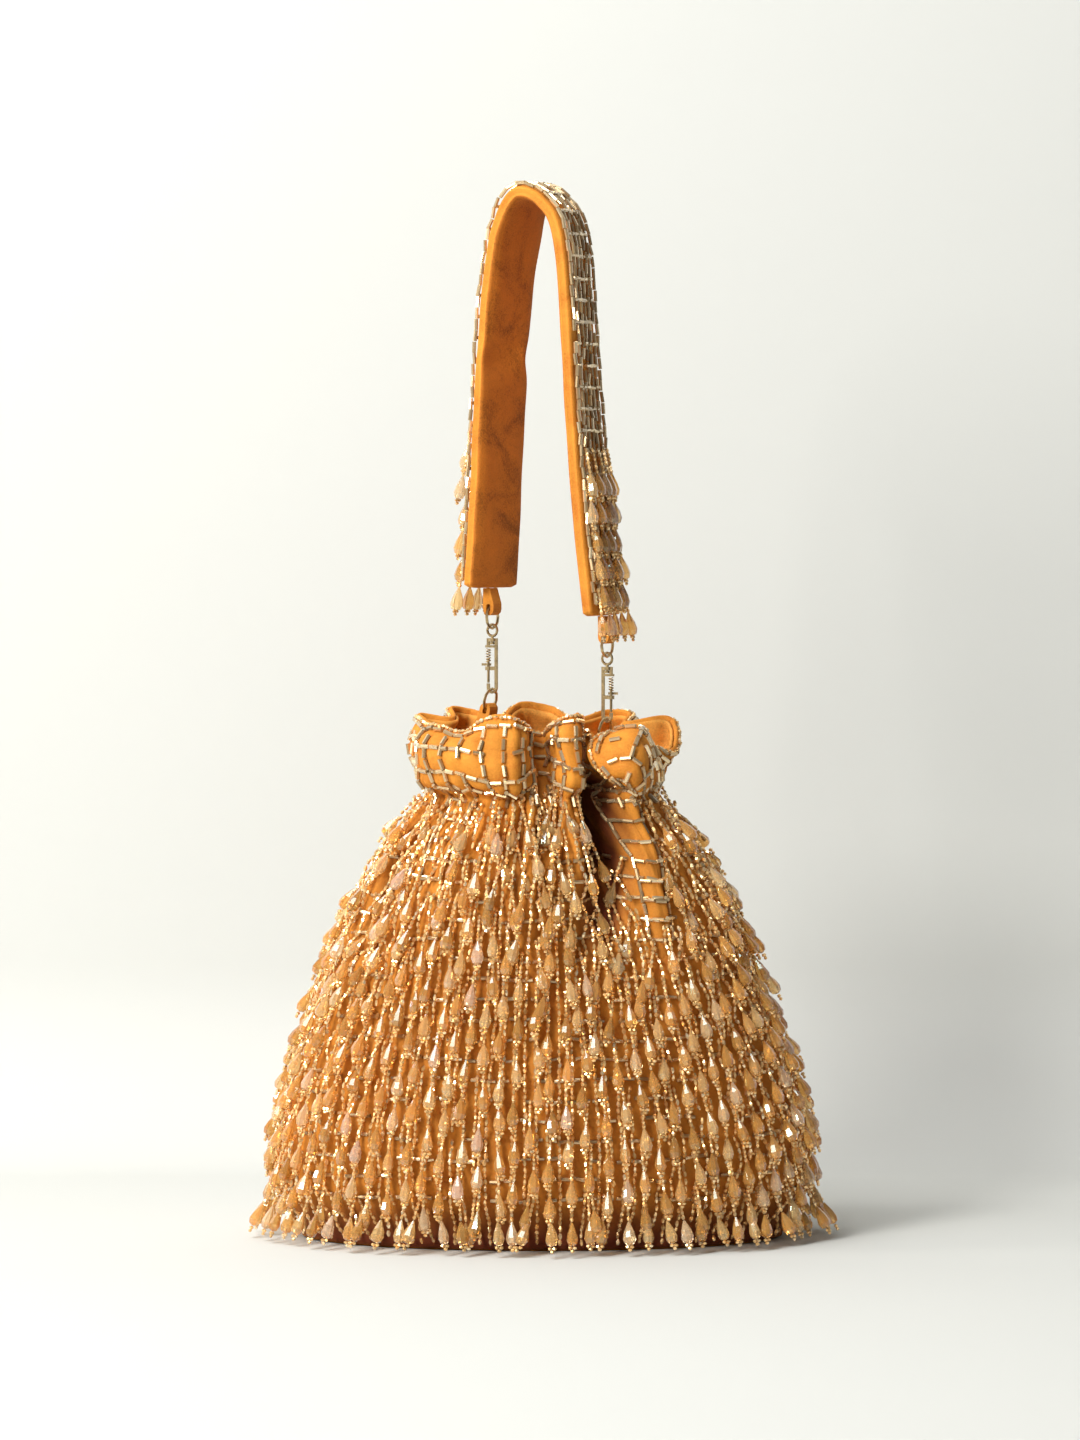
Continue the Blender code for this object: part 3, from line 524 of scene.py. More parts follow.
def deep_pleat(turn, s):
    """The long dark pleat that runs down from the mouth at the front right."""
    across = np.degrees(turn) % 360 - 301.5 + 0.29 * (166.0 - np.minimum(s, 166.0))
    share = np.interp(s, (102, 122, 138, 150, 170), (0, 0.35, 0.8, 1, 1))
    wide = np.interp(s, (102, 124, 150, 166), (4.0, 7.5, 8.5, 7.0))
    return -PLEAT_DEPTH * share * np.exp(-np.abs(across / wide) ** 3.2)


def ladder_across(turn, s, direction, slant):
    """Distance round the body from the middle of a plain strip, in millimetres."""
    apart = (np.degrees(turn) - direction - slant * (NECK_Z - s) + 180.0) % 360.0 - 180.0
    return np.radians(apart) * smooth_table(WALL, 1, s) * GIRTH_SHARE


def on_ladder(turn, s):
    """Whether a place lies on one of the plain strips, which carry no tassels."""
    found = np.zeros(np.shape(turn), bool)
    for direction, slant, low, _, half in LADDERS:
        near = np.abs(ladder_across(turn, s, direction, slant)) < half + 1.0
        found |= near & (s > low + 8.0)
    return found


def in_pleat(turn, s):
    """Share of the deep pleat's depth at a place, 0 outside it."""
    return np.clip(-deep_pleat(turn, s) / PLEAT_DEPTH, 0.0, 1.0)


def fold_shade(turn, s):
    """Painted shade for the velvet: how far a place lies inside a fold, in the left hollow, under the
    beads and under the foot.
    """
    small = 0.45 * np.clip(-fine_pleats(turn, s) / 2.0, 0.0, 1.0)
    # Painted shade along the foot of the wall, under the lowest tassels
    foot = np.interp(s, (4.0, 13.0, 20.0), (1.0, 0.7, 0.0))
    deep = 2.4 * in_pleat(turn, s) * np.interp(s, (0.0, 172.0, 180.0), (1.0, 1.0, 0.0))
    dent = 0.6 * np.clip(-left_dent(turn, s) / 9.0, 0.0, 1.0)
    # Painted shade on the velvet under the strings and tassels
    under_beads = np.interp(s, (14.0, 24.0, 140.0, 160.0), (0.0, 0.16, 0.16, 0.0))
    return np.clip(small + foot + deep + dent + under_beads, 0.0, 1.0)


def ridge(turn, s):
    """The standing fold that carries the first plain strip."""
    direction, slant, low, _, half = LADDERS[0]
    across = ladder_across(turn, s, direction, slant) / (half * 0.95)
    share = np.interp(s, (low - 8.0, low + 12.0, NECK_Z), (0, 1, 1))
    return RIDGE_HEIGHT * share * np.exp(-across ** 4)


def wall_point(turn, s):
    """Points of the body below the ruffle, with its folds, and their level outward direction."""
    wide, deep = smooth_table(WALL, 1, s), smooth_table(WALL, 2, s)
    nx, ny = np.cos(turn) / wide, np.sin(turn) / deep
    size = np.hypot(nx, ny)
    nx, ny = nx / size, ny / size
    share = np.interp(s, [row[0] for row in FOLD_SHARE], [row[1] for row in FOLD_SHARE])
    off = round_table(RIM_FOLDS, np.degrees(turn), 0.8) * share
    off = off + left_dent(turn, s) + front_swell(turn, s) + deep_pleat(turn, s) + ridge(turn, s)
    point = np.stack([wide * np.cos(turn) + nx * off, deep * np.sin(turn) + ny * off, s], axis=-1)
    return point, np.stack([nx, ny, np.zeros_like(nx)], axis=-1)


def ring_curve(degrees, level):
    """One level of the ruffle's folds, read as a smooth closed curve. Level 1 is the belly."""
    places = np.array([row[0] for row in RUFFLE_FOLDS], float)
    values = np.array([row[level] for row in RUFFLE_FOLDS], float)
    places = np.concatenate([places[-2:] - 360, places, places[:3] + 360])
    values = np.concatenate([values[-2:], values, values[:3]])
    slopes = np.gradient(values, places, axis=0)
    at = np.mod(degrees, 360.0)
    k = np.clip(np.searchsorted(places, at, side="right") - 1, 1, len(places) - 3)
    gap = places[k + 1] - places[k]
    t = ((at - places[k]) / gap)[..., None]
    gap = gap[..., None]
    low, high = values[k], values[k + 1]
    return (
        low * (1 + 2 * t) * (1 - t) ** 2 + high * t * t * (3 - 2 * t)
        + slopes[k] * gap * t * (1 - t) ** 2 - slopes[k + 1] * gap * t * t * (1 - t)
    )


def catmull(a, b, c, d, t):
    """Catmull-Rom curve from b, at t 0, to c, at t 1."""
    bend = 2 * a - 5 * b + 4 * c - d
    return 0.5 * (2 * b + (c - a) * t + bend * t * t + (3 * b - a - 3 * c + d) * t ** 3)


def spline_point(points, t):
    """Catmull-Rom reading of a list of points at t, counted in points from the second one."""
    spot = np.clip(t, 0, len(points) - 3 - 1e-6)
    i = spot.astype(int)
    f = (spot - i)[..., None]
    stack = np.stack(points)
    pick = [np.take_along_axis(stack, (i + k)[None, ..., None], axis=0)[0] for k in range(4)]
    return catmull(*pick, f)


def base_surface(turn, s):
    """The cloth without its small gathers: wall below the neck and folded ruffle above it."""
    degrees = np.degrees(turn)
    wall, _ = wall_point(turn, np.minimum(s, NECK_Z))
    below, _ = wall_point(turn, np.full_like(turn, NECK_Z - 10.0))
    neck, _ = wall_point(turn, np.full_like(turn, NECK_Z))
    belly, crest, rim = (ring_curve(degrees, k) for k in (1, 2, 3))
    beyond = rim * 2 - crest
    up = np.clip((s - NECK_Z) / RUFFLE_LENGTH, 0.0, 1.0) * 3.0
    ruffle = spline_point([below, neck, belly, crest, rim, beyond], up)
    return np.where((s > NECK_Z)[..., None], ruffle, wall)


def surface(turn, s, out=0.0):
    """Points of the velvet's outer face at a direction and a length up the cloth."""
    turn, s = np.broadcast_arrays(np.asarray(turn, float), np.asarray(s, float))
    point = base_surface(turn, s)
    across = base_surface(turn + 0.006, s) - base_surface(turn - 0.006, s)
    up = base_surface(turn, s + 0.7) - base_surface(turn, s - 0.7)
    normal = np.cross(across, up)
    normal = normal / np.linalg.norm(normal, axis=-1, keepdims=True)
    off = fine_pleats(turn, s) + soft_bumps(turn, s) + quilted(turn, s) + out
    return point + normal * off[..., None]


def run_along(points):
    """Length passed at each point of a polyline."""
    return np.concatenate([[0], np.cumsum(np.linalg.norm(np.diff(points, axis=0), axis=1))])


def arc_share(s):
    """Directions round the cloth at one height and the share of its length passed at each."""
    fine = np.linspace(0, math.tau, 2881)
    along = run_along(base_surface(fine, np.full_like(fine, s)))
    return fine, along / along[-1]


def even_turns(count, s):
    """Directions spaced evenly along the cloth at one height."""
    fine, share = arc_share(s)
    return np.interp(np.arange(count) / count, share, fine)


RUFFLE_ARC = []


def quilted(turn, s):
    """The velvet swells between the couched lines of the ruffle."""
    if not RUFFLE_ARC:
        RUFFLE_ARC.extend(arc_share(GRID_LEVEL))
    column = np.interp(np.mod(turn, math.tau), *RUFFLE_ARC) * RUFFLE_COLUMNS
    row = (RIM_AT - GRID_HEM - s) / GRID_CELL
    cells = (np.sin(math.pi * column) * np.sin(math.pi * row)) ** 2
    return np.interp(s, (150, 170, 197, 199), (0, 1.0, 1.0, 0)) * (cells ** 0.5 - 0.35)


# Mesh helpers


def linked(name, data):
    """A new object in the scene."""
    ob = bpy.data.objects.new(name, data)
    bpy.context.scene.collection.objects.link(ob)
    return ob


def object_from(name, points, faces, mats):
    mesh = bpy.data.meshes.new(name)
    mesh.from_pydata(np.asarray(points).tolist(), [], faces)
    for mat in mats:
        mesh.materials.append(mat)
    mesh.shade_smooth()
    return linked(name, mesh)


def capped_tube(rows, columns):
    """Faces of a tube with both of its ends closed."""
    faces = grid_faces(rows, columns)
    faces.append(tuple(reversed(range(columns))))
    faces.append(tuple(range((rows - 1) * columns, rows * columns)))
    return faces


def grid_faces(rows, columns, closed_rows=False):
    """Quads over rows of points whose columns run round a ring."""
    faces = []
    last = rows if closed_rows else rows - 1
    for r in range(last):
        low, high = r * columns, ((r + 1) % rows) * columns
        for c in range(columns):
            d = (c + 1) % columns
            faces.append((low + c, low + d, high + d, high + c))
    return faces


def face_outward(mesh, merge=0.0):
    """Turns a mesh's faces outward, after joining points closer than merge."""
    bm = bmesh.new()
    bm.from_mesh(mesh)
    if merge:
        bmesh.ops.remove_doubles(bm, verts=bm.verts, dist=merge)
    bmesh.ops.recalc_face_normals(bm, faces=bm.faces)
    bm.to_mesh(mesh)
    bm.free()


def applied(ob):
    """Evaluates an object's modifiers into its mesh and clears them."""
    graph = bpy.context.evaluated_depsgraph_get()
    mesh = bpy.data.meshes.new_from_object(ob.evaluated_get(graph))
    ob.modifiers.clear()
    ob.data = mesh
    return ob


def finish_piece(ob, body, slot, *nodes):
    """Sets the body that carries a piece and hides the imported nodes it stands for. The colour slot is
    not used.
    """
    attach(ob, body)
    if nodes:
        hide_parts(*nodes)


# Beads


def bead_template(name, rings, sides, smooth):
    """A turned bead: rings of (radius, height) from its foot to its top, closed at both ends."""
    bm = bmesh.new()
    rows = []
    for radius, z in rings:
        row = []
        for k in range(sides):
            a = math.tau * k / sides
            row.append(bm.verts.new((radius * math.cos(a), radius * math.sin(a), z)))
        rows.append(row)
    for low, high in zip(rows, rows[1:]):
        for k in range(sides):
            j = (k + 1) % sides
            bm.faces.new((low[k], low[j], high[j], high[k]))
    bm.faces.new(list(reversed(rows[0])))
    bm.faces.new(rows[-1])
    mesh = bpy.data.meshes.new(name)
    bm.to_mesh(mesh)
    bm.free()
    if smooth:
        mesh.shade_smooth()
        mesh.set_sharp_from_angle(angle=math.radians(50))
    return linked(name, mesh)


# Rings of each bead as shares of its size, its number of sides, and whether it is smooth
BEAD_SHAPES = {
    "seed": (((0.26, -0.36), (0.5, 0.0), (0.26, 0.36)), 5, True),
    "bugle": (((0.5, -0.5), (0.5, 0.5)), 6, False),
    "drop": (
        ((0.10, -0.5), (0.36, -0.44), (0.5, -0.24), (0.40, 0.06), (0.2, 0.34), (0.09, 0.5)),
        8, False,
    ),
}
BEADS = {}


def bead(kind):
    """The object that stands for one kind of bead, made once."""
    if kind not in BEADS:
        BEADS[kind] = bead_template(f"template_{kind}", *BEAD_SHAPES[kind])
    return BEADS[kind]


def bead_tree():
    """Geometry Nodes group that sets one bead on every point, turned by the point's own values."""
    name = "Beads on points"
    if name in bpy.data.node_groups:
        return bpy.data.node_groups[name]
    tree = bpy.data.node_groups.new(name, "GeometryNodeTree")
    for label, way, kind in (
        ("Geometry", "INPUT", "Geometry"), ("Bead", "INPUT", "Object"),
        ("Material", "INPUT", "Material"), ("Geometry", "OUTPUT", "Geometry"),
    ):
        tree.interface.new_socket(label, in_out=way, socket_type=f"NodeSocket{kind}")
    nodes = tree.nodes
    start, end = nodes.new("NodeGroupInput"), nodes.new("NodeGroupOutput")
    info = nodes.new("GeometryNodeObjectInfo")
    read = {}
    for label, kind in (("along", "FLOAT_VECTOR"), ("size", "FLOAT_VECTOR"), ("spin", "FLOAT")):
        read[label] = nodes.new("GeometryNodeInputNamedAttribute")
        read[label].data_type = kind
        read[label].inputs["Name"].default_value = label
    turn = nodes.new("FunctionNodeAlignRotationToVector")
    turn.axis = "Z"
    spin = nodes.new("FunctionNodeAxisAngleToRotation")
    spin.inputs["Axis"].default_value = (0.0, 0.0, 1.0)
    both = nodes.new("FunctionNodeRotateRotation")
    both.rotation_space = "LOCAL"
    place = nodes.new("GeometryNodeInstanceOnPoints")
    real = nodes.new("GeometryNodeRealizeInstances")
    paint = nodes.new("GeometryNodeSetMaterial")
    for source, out, target, into in (
        (start, "Bead", info, "Object"),
        (read["along"], "Attribute", turn, "Vector"),
        (read["spin"], "Attribute", spin, "Angle"),
        (turn, "Rotation", both, "Rotation"),
        (spin, "Rotation", both, "Rotate By"),
        (start, "Geometry", place, "Points"),
        (info, "Geometry", place, "Instance"),
        (both, "Rotation", place, "Rotation"),
        (read["size"], "Attribute", place, "Scale"),
        (place, "Instances", real, "Geometry"),
        (real, "Geometry", paint, "Geometry"),
        (start, "Material", paint, "Material"),
        (paint, "Geometry", end, "Geometry"),
    ):
        tree.links.new(source.outputs[out], target.inputs[into])
    return tree


class BeadList:
    """Beads of one kind, gathered as points with a direction, size, spin and tone."""

    def __init__(self, kind, mat):
        self.kind, self.mat = kind, mat
        self.points, self.along, self.size = [], [], []

    def add(self, points, along, size):
        points = np.atleast_2d(points)
        self.points.append(points)
        self.along.append(np.broadcast_to(along, points.shape))
        self.size.append(np.broadcast_to(np.asarray(size, float), points.shape))

    def build(self, name, rng):
        points = np.concatenate(self.points) * MM
        mesh = bpy.data.meshes.new(name)
        mesh.from_pydata(points.tolist(), [], [])
        count = len(points)
        values = {
            "along": ("FLOAT_VECTOR", np.concatenate(self.along)),
            "size": ("FLOAT_VECTOR", np.concatenate(self.size) * MM),
            "spin": ("FLOAT", rng.uniform(0, math.tau, count)),
            "tone": ("FLOAT", rng.uniform(0, 1, count)),
        }
        for label, (kind, data) in values.items():
            layer = mesh.attributes.new(label, kind, "POINT")
            layer.data.foreach_set("vector" if kind == "FLOAT_VECTOR" else "value", data.ravel())
        ob = linked(name, mesh)
        tree = bead_tree()
        mod = ob.modifiers.new("Beads", "NODES")
        mod.node_group = tree
        items = tree.interface.items_tree
        ids = {item.name: item.identifier for item in items if item.in_out == "INPUT"}
        mod[ids["Bead"]] = bead(self.kind)
        mod[ids["Material"]] = material(self.mat)
        ob.update_tag()
        bpy.context.view_layer.update()
        return applied(ob)


def joined(name, parts):
    """Joins finished bead objects into one piece, keeping their materials."""
    first = parts[0]
    with bpy.context.temp_override(active_object=first, selected_editable_objects=parts):
        bpy.ops.object.join()
    first.name = first.data.name = name
    return first


def string_beads(beads, line, pitch, size, rng, start=0.0, keep=1.0):
    """Sets beads along a polyline at a pitch, keeping a share of them."""
    along = run_along(line)
    count = int((along[-1] - start) / pitch)
    if count < 1:
        return
    at = start + pitch * (np.arange(count) + 0.5)
    if keep < 1.0:
        at = at[rng.uniform(0, 1, count) < keep]

    def spot(where):
        return np.stack([np.interp(where, along, line[:, k]) for k in range(3)], axis=1)

    direction = spot(at + 0.3) - spot(at - 0.3)
    direction /= np.linalg.norm(direction, axis=1, keepdims=True) + 1e-9
    direction = direction + rng.normal(0, BEAD_TILT, (len(at), 3))
    beads.add(spot(at) + rng.normal(0, BEAD_SHIFT, (len(at), 3)), direction, size)


def add_tassels(seeds, drops, root, outward, side, reach, loose, rng):
    """Tassels, one for each root: a string of seeds, a faceted drop and three seeds at its tip."""
    p = sizes()
    count = len(root)
    swing = rng.normal(0, loose, count)[:, None]
    reach = (reach * rng.uniform(0.85, 1.12, count))[:, None]

    def spot(at):
        t = at / TASSEL_LENGTH
        return (
            root + outward * (reach * t ** 0.8) + side * (swing * t ** 1.4)
            - np.array([0, 0, 1.0]) * (at * (1 - 0.03 * t))
        )

    seed = seed_width()
    for k in range(STRUNG_SEEDS):
        at = (k + 0.5) * seed
        seeds.add(spot(at), spot(at + 0.6) - spot(max(at - 0.6, 0.01)), (seed, seed, seed * 1.4))
    drop = p.drop_length / MM
    top = STRUNG_SEEDS * seed
    middle = top + drop / 2
    wide = (p.drop_size / MM * rng.uniform(0.92, 1.06, count))[:, None]
    size = np.concatenate([wide, wide * 0.92, np.full_like(wide, drop)], axis=1)
    drops.add(spot(middle), spot(middle - 2) - spot(middle + 2), size)
    low = top + drop + 0.3
    for shift, down in ((-0.8, 0.2), (0.8, 0.2), (0.0, 1.35)):
        seeds.add(spot(low + down) + side * shift, side, (seed * 0.92, seed * 0.92, seed * 1.2))


# Pieces


def build_velvet():
    """The velvet bag: one closed shell from the base seam up to the hemmed rim and back."""
    p = sizes()
    columns = p.wall_columns
    turns = np.arange(columns) * math.tau / columns
    outer_s = np.concatenate([
        np.linspace(0.7, 10, 6), np.linspace(14, 96, 22), np.linspace(99, RIM_AT, 62),
    ])
    thick = p.velvet_thick / MM
    rows = [surface(turns, s) for s in outer_s]
    rim = surface(turns, RIM_AT, -thick / 2)
    rim[:, 2] += 0.55
    rows.append(rim)
    inner_s = np.concatenate([np.linspace(RIM_AT, 150, 14), [120, 80, 40, 10, 0.7]])
    for s in inner_s:
        rows.append(surface(turns, s, -thick))
    points = np.concatenate(rows) * MM
    faces = grid_faces(len(rows), columns, True)
    ob = object_from("velvet_bag", points, faces, [material("velvet")])
    every_s = np.concatenate([outer_s, [RIM_AT], inner_s])
    # Painted shade: each point's share of the fold shade colour, stored as the fold attribute
    dark = fold_shade(turns[None, :], every_s[:, None]).astype(np.float32)
    ob.data.attributes.new("fold", "FLOAT", "POINT").data.foreach_set("value", dark.ravel())
    finish_piece(ob, "bag", "velvet", "velvet_body")


def build_lining():
    """The lining: a closed double wall inside the velvet, with a floor over the board."""
    p = sizes()
    columns = 320
    turns = np.arange(columns) * math.tau / columns
    top = RIM_AT - 1.6
    under = p.velvet_thick / MM + 0.25
    board_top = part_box("base_board")[1][2] / MM + 0.35
    rows = [surface(turns, s, -under) for s in np.linspace(12, 150, 12)]
    rows += [surface(turns, s, -under) for s in np.linspace(155, top, 22)]
    rows += [surface(turns, s, -under - 0.9) for s in np.linspace(top, 150, 24)]
    rows += [surface(turns, s, -under - 0.9) for s in np.linspace(140, 12, 10)]
    inner_floor = surface(turns, 12, -under - 4)
    inner_floor[:, 2] = board_top + 0.9
    outer_floor = surface(turns, 12, -under - 3)
    outer_floor[:, 2] = board_top
    rows = [outer_floor] + rows + [inner_floor]
    faces = capped_tube(len(rows), columns)
    ob = object_from("lining_bag", np.concatenate(rows) * MM, faces, [material("lining")])
    finish_piece(ob, "bag", "lining_satin", "lining")


def build_tassel_rows():
    """Ten rounds of strung tassels, each hanging over the next one down."""
    p = sizes()
    rng = np.random.default_rng(p.seed)
    columns = even_turns(COLUMN_COUNT, EVEN_AT)
    phase = (np.arange(COLUMN_COUNT) * 2 % 3) / 3
    for row in range(TASSEL_ROWS):
        seeds, drops = BeadList("seed", "seed_beads"), BeadList("drop", "drop_beads")
        top = LOWEST_TIP + TASSEL_LENGTH + row * ROW_PITCH
        jitter = rng.normal(0, 0.9, COLUMN_COUNT)
        s = top + (jitter - ROW_PITCH * phase if row else 0.0 * jitter)
        turn = columns + rng.normal(0, 0.006, COLUMN_COUNT)
        if row == TASSEL_ROWS - 1:
            half, step = turn[::2], math.pi / COLUMN_COUNT
            turn = np.concatenate([turn, half + step, half - 0.4 * step])
            s = np.concatenate([s] + [root + rng.normal(0, 1.5, len(half)) for root in NECK_ROOTS])
        plain = on_ladder(turn, s) | ((in_pleat(turn, s) > 0.25) & (s > PLEAT_BARE))
        turn, s = turn[~plain], s[~plain]
        root = surface(turn, s, 1.0)
        side = surface(turn + 0.01, s) - surface(turn - 0.01, s)
        side[:, 2] = 0.0
        side /= np.linalg.norm(side, axis=1, keepdims=True)
        outward = np.stack([side[:, 1], -side[:, 0], np.zeros(len(side))], axis=1)
        foot = surface(turn, np.maximum(s - TASSEL_LENGTH, WIDEST_AT), 1.0)
        drift = np.maximum(((foot - root) * outward).sum(axis=1), 0.0)
        reach = drift + TASSEL_REACH
        if row == 0:
            reach = drift + LOWEST_REACH + rng.normal(0, 1.6, len(drift))
        loose = LOWEST_LOOSE if row == 0 else LOOSE
        add_tassels(seeds, drops, root, outward, side, reach, loose, rng)
        name = f"tassels_{row + 1:02d}"
        ob = joined(name, [seeds.build(name + "_s", rng), drops.build(name + "_d", rng)])
        finish_piece(ob, "bag", "glass_beads", f"fringe_row_{row + 1:02d}")


def strung_rows(beads, turns, s, lift, pitch, size, rng, keep):
    """Couched strings over the velvet. turns and s are grids whose rows each hold one string."""
    lines = surface(turns, s, lift)
    for line in lines:
        string_beads(beads, line, pitch, size, rng, keep=keep)


def build_body_strings():
    """Seed strings up the body and level rows of bugles, couched between the tassels."""
    p = sizes()
    rng = np.random.default_rng(p.seed + 1)
    seeds, bugles = BeadList("seed", "seed_beads"), BeadList("bugle", "bugle_beads")
    seed = seed_width()
    columns = even_turns(STRING_COUNT, EVEN_AT)
    reach = np.linspace(0, 1, 70)
    top = 164 + rng.uniform(-5, 4, len(columns))
    for low in (120.0, 140.0):
        plain = on_ladder(columns, np.full(STRING_COUNT, low + 4.0))
        top = np.where(plain, np.minimum(top, low), top)
    for low in (116.0, 128.0, 140.0, 152.0):
        inside = in_pleat(columns, np.full(STRING_COUNT, low + 5.0)) > 0.3
        top = np.where(inside, np.minimum(top, low), top)
    s = 3 + (top[:, None] - 3) * reach
    turns = columns[:, None] + 0.005 * np.sin(s / 17 + np.arange(len(columns))[:, None])
    slack = np.abs(np.sin(s * math.pi / ROW_PITCH + 2.1 * np.arange(len(columns))[:, None]))
    lift = seed * 0.42 + 3.0 * slack * (1.0 - in_pleat(turns, s))
    strung_rows(seeds, turns, s, lift, seed * 1.62, (seed, seed, seed * 1.95), rng, 0.97)
    long, wide = bugle_measures()
    around = np.linspace(0, math.tau, 1500)
    levels = np.arange(20.0, 150.0, ROW_PITCH / 2)[:, None]
    s = levels + 0.6 * np.sin(around * 9 + levels)
    turns = np.broadcast_to(around, s.shape)
    strung_rows(bugles, turns, s, wide * 0.4, long * 1.25, (wide, wide, long), rng, 0.6)
    for name, beads in (("body_strings", seeds), ("body_bugles", bugles)):
        finish_piece(beads.build(name, rng), "bag", "glass_beads")


def ladder_turns(ladder, s, shares):
    """Directions of places across a plain strip, at shares of its half width."""
    direction, slant, _, _, half = ladder
    spread = half / (smooth_table(WALL, 1, s) * GIRTH_SHARE)
    return np.radians(direction + slant * (NECK_Z - s)) + spread * shares


def add_ladders(bugles, rng):
    """Rungs and side rows of bugles on the plain strips."""
    long, wide = bugle_measures()
    for ladder in LADDERS:
        low, high = ladder[2:4]
        for level in np.arange(low, high, RUNG_PITCH):
            heights = np.full(9, level)
            line = surface(ladder_turns(ladder, heights, np.linspace(-1, 1, 9)), heights, wide * 0.5)
            string_beads(bugles, line, long * 1.06, (wide, wide, long), rng, start=0.8)
        heights = np.linspace(low, high, 30)
        for side in (-1, 1):
            line = surface(ladder_turns(ladder, heights, side), heights, wide * 0.5)
            string_beads(bugles, line, long * 1.1, (wide, wide, long), rng)


def build_ruffle_grid():
    """Bugle beads couched in a square grid over the ruffle and neck."""
    p = sizes()
    rng = np.random.default_rng(p.seed + 2)
    bugles = BeadList("bugle", "bugle_beads")
    long, wide = bugle_measures()
    grid_top = RIM_AT - GRID_HEM
    columns = even_turns(RUFFLE_COLUMNS, GRID_LEVEL)
    s = np.broadcast_to(np.linspace(GRID_FOOT, grid_top, 50), (len(columns), 50))
    turns = columns[:, None] + 0.008 * np.sin(s / 9 + columns[:, None] * 5)
    size = (wide * 1.15, wide * 1.15, long)
    strung_rows(bugles, turns, s, wide * 0.5, long * 1.2, size, rng, 0.95)
    around = np.linspace(0, math.tau, 2000)
    levels = grid_top - np.arange(RUFFLE_LEVELS)[:, None] * GRID_CELL
    s = levels + 0.5 * np.sin(around * 7)
    turns = np.broadcast_to(around, s.shape)
    strung_rows(bugles, turns, s, wide * 0.5, long * 1.2, size, rng, 0.93)
    add_ladders(bugles, rng)
    seeds = BeadList("seed", "seed_beads")
    seed = seed_width()
    edge = surface(around, np.full_like(around, RIM_AT - 0.9), seed * 0.35)
    string_beads(seeds, edge, seed * 1.15, (seed, seed, seed * 1.4), rng)
    ob = joined("ruffle_bugles", [bugles.build("ruffle_b", rng), seeds.build("ruffle_s", rng)])
    finish_piece(ob, "bag", "glass_beads")


# Handle


def handle_along():
    """Level direction from the left end of the handle to its right end."""
    turn = math.radians(HANDLE_TURN)
    return np.array([math.cos(turn), -math.sin(turn), 0.0])


def strap_flat(at):
    """Place along the handle and height of the strap's middle line, at a share of its points."""
    line = np.array(STRAP_LINE)
    ends = np.vstack([line[0] * 2 - line[1], line, line[-1] * 2 - line[-2]])
    spot = min(max(at, 0.0), 0.999999) * (len(line) - 1)
    i = int(spot)
    return catmull(*ends[i:i + 4], spot - i)


def strap_station(at):
    """Middle point of the strap, its width direction and its outward direction."""
    flat = strap_flat(at)
    step = strap_flat(at + 0.004) - strap_flat(at - 0.004)
    step /= np.linalg.norm(step)
    turn = math.radians(float(np.interp(at, *zip(*STRAP_TURNS))))
    wide = np.array([math.sin(turn), math.cos(turn), 0.0])
    up = np.array([0.0, 0.0, 1.0])
    forward = handle_along() * step[0] + up * step[1]
    outward = np.cross(forward, wide)
    outward /= np.linalg.norm(outward)
    sign = np.sign(outward @ (handle_along() * -step[1] + up * step[0]))
    return handle_along() * flat[0] + up * flat[1], wide, outward * sign


def even_stations(count):
    """Places along the strap at even steps of its length."""
    fine = np.linspace(0, 1, 800)
    along = run_along(np.array([strap_flat(t) for t in fine]))
    return np.interp(np.linspace(0, along[-1], count), along, fine), along[-1]


def strap_section(count):
    """Outline of the strap: two soft layers that meet in a sewn seam at both edges."""
    section = []
    for k in range(count):
        a = math.tau * k / count
        c, s = math.cos(a), math.sin(a)
        x = np.sign(c) * abs(c) ** 0.35
        y = np.sign(s) * abs(s) ** 0.55
        seam = math.exp(-(y / 0.22) ** 2) if abs(x) > 0.9 else 0.0
        section.append((x * (1.0 - 0.07 * seam), y))
    return section


def build_strap():
    """Sewn velvet strap, a little padded, with an edge seam, stitch dimples and creases."""
    p = sizes()
    stations, length = even_stations(300)
    section = strap_section(44)
    half, thick = p.strap_width / MM / 2, p.strap_thick / MM / 2
    rows = []
    for n, at in enumerate(stations):
        middle, wide, outward = strap_station(at)
        run = length * n / (len(stations) - 1)
        narrow = 1.0 + 0.012 * math.sin(run / 9.0) + 0.010 * math.sin(run / 4.1 + 1)
        pinch = 0.30 * math.exp(-((run - PINCH_AT) / 6.0) ** 2)
        row = []
        for x, y in section:
            edge = abs(x) ** 6
            crease = 0.35 * math.sin(run / 7.0 + 3.0 * x) * math.sin(run / 17.0 - 2.0 * x)
            stitch = math.exp(-((abs(x) - 0.86) / 0.05) ** 2) * (0.6 + 0.4 * math.cos(run * 2.4))
            lift = (thick + (crease - 0.35 * stitch) * (1 - edge)) * y
            pleat = pinch * 6.0 * math.cos(2.2 * x + 0.9) if y < 0 else 0.0
            across = x * half * (narrow - (pinch if x > 0 else 0.0))
            row.append(middle + wide * across + outward * (lift + pleat))
        rows.append(np.array(row))
    for end in (0, -1):
        middle = rows[end].mean(axis=0)
        rows[end] = middle + (rows[end] - middle) * 0.82
    points = np.concatenate(rows) * MM
    count = len(section)
    # The inner face takes the darker velvet, which is partly painted shade
    mats = [material("velvet"), material("strap_pile_and_shade_velvet")]
    ob = object_from("strap", points, capped_tube(len(rows), count), mats)
    inner = [k for k in range(count) if section[k][1] < -0.35]
    for k, face in enumerate(ob.data.polygons):
        if k < (len(rows) - 1) * count and k % count in inner:
            face.material_index = 1
    face_outward(ob.data)
    finish_piece(ob, "handle", "velvet", "strap_face", "strap_lining")


def strap_outside(at, share):
    """A point on the strap's outer face, across it from -1 to 1, and its directions."""
    middle, wide, outward = strap_station(at)
    half, thick = sizes().strap_width / MM / 2, sizes().strap_thick / MM / 2
    return middle + wide * (share * half) + outward * thick, wide, outward


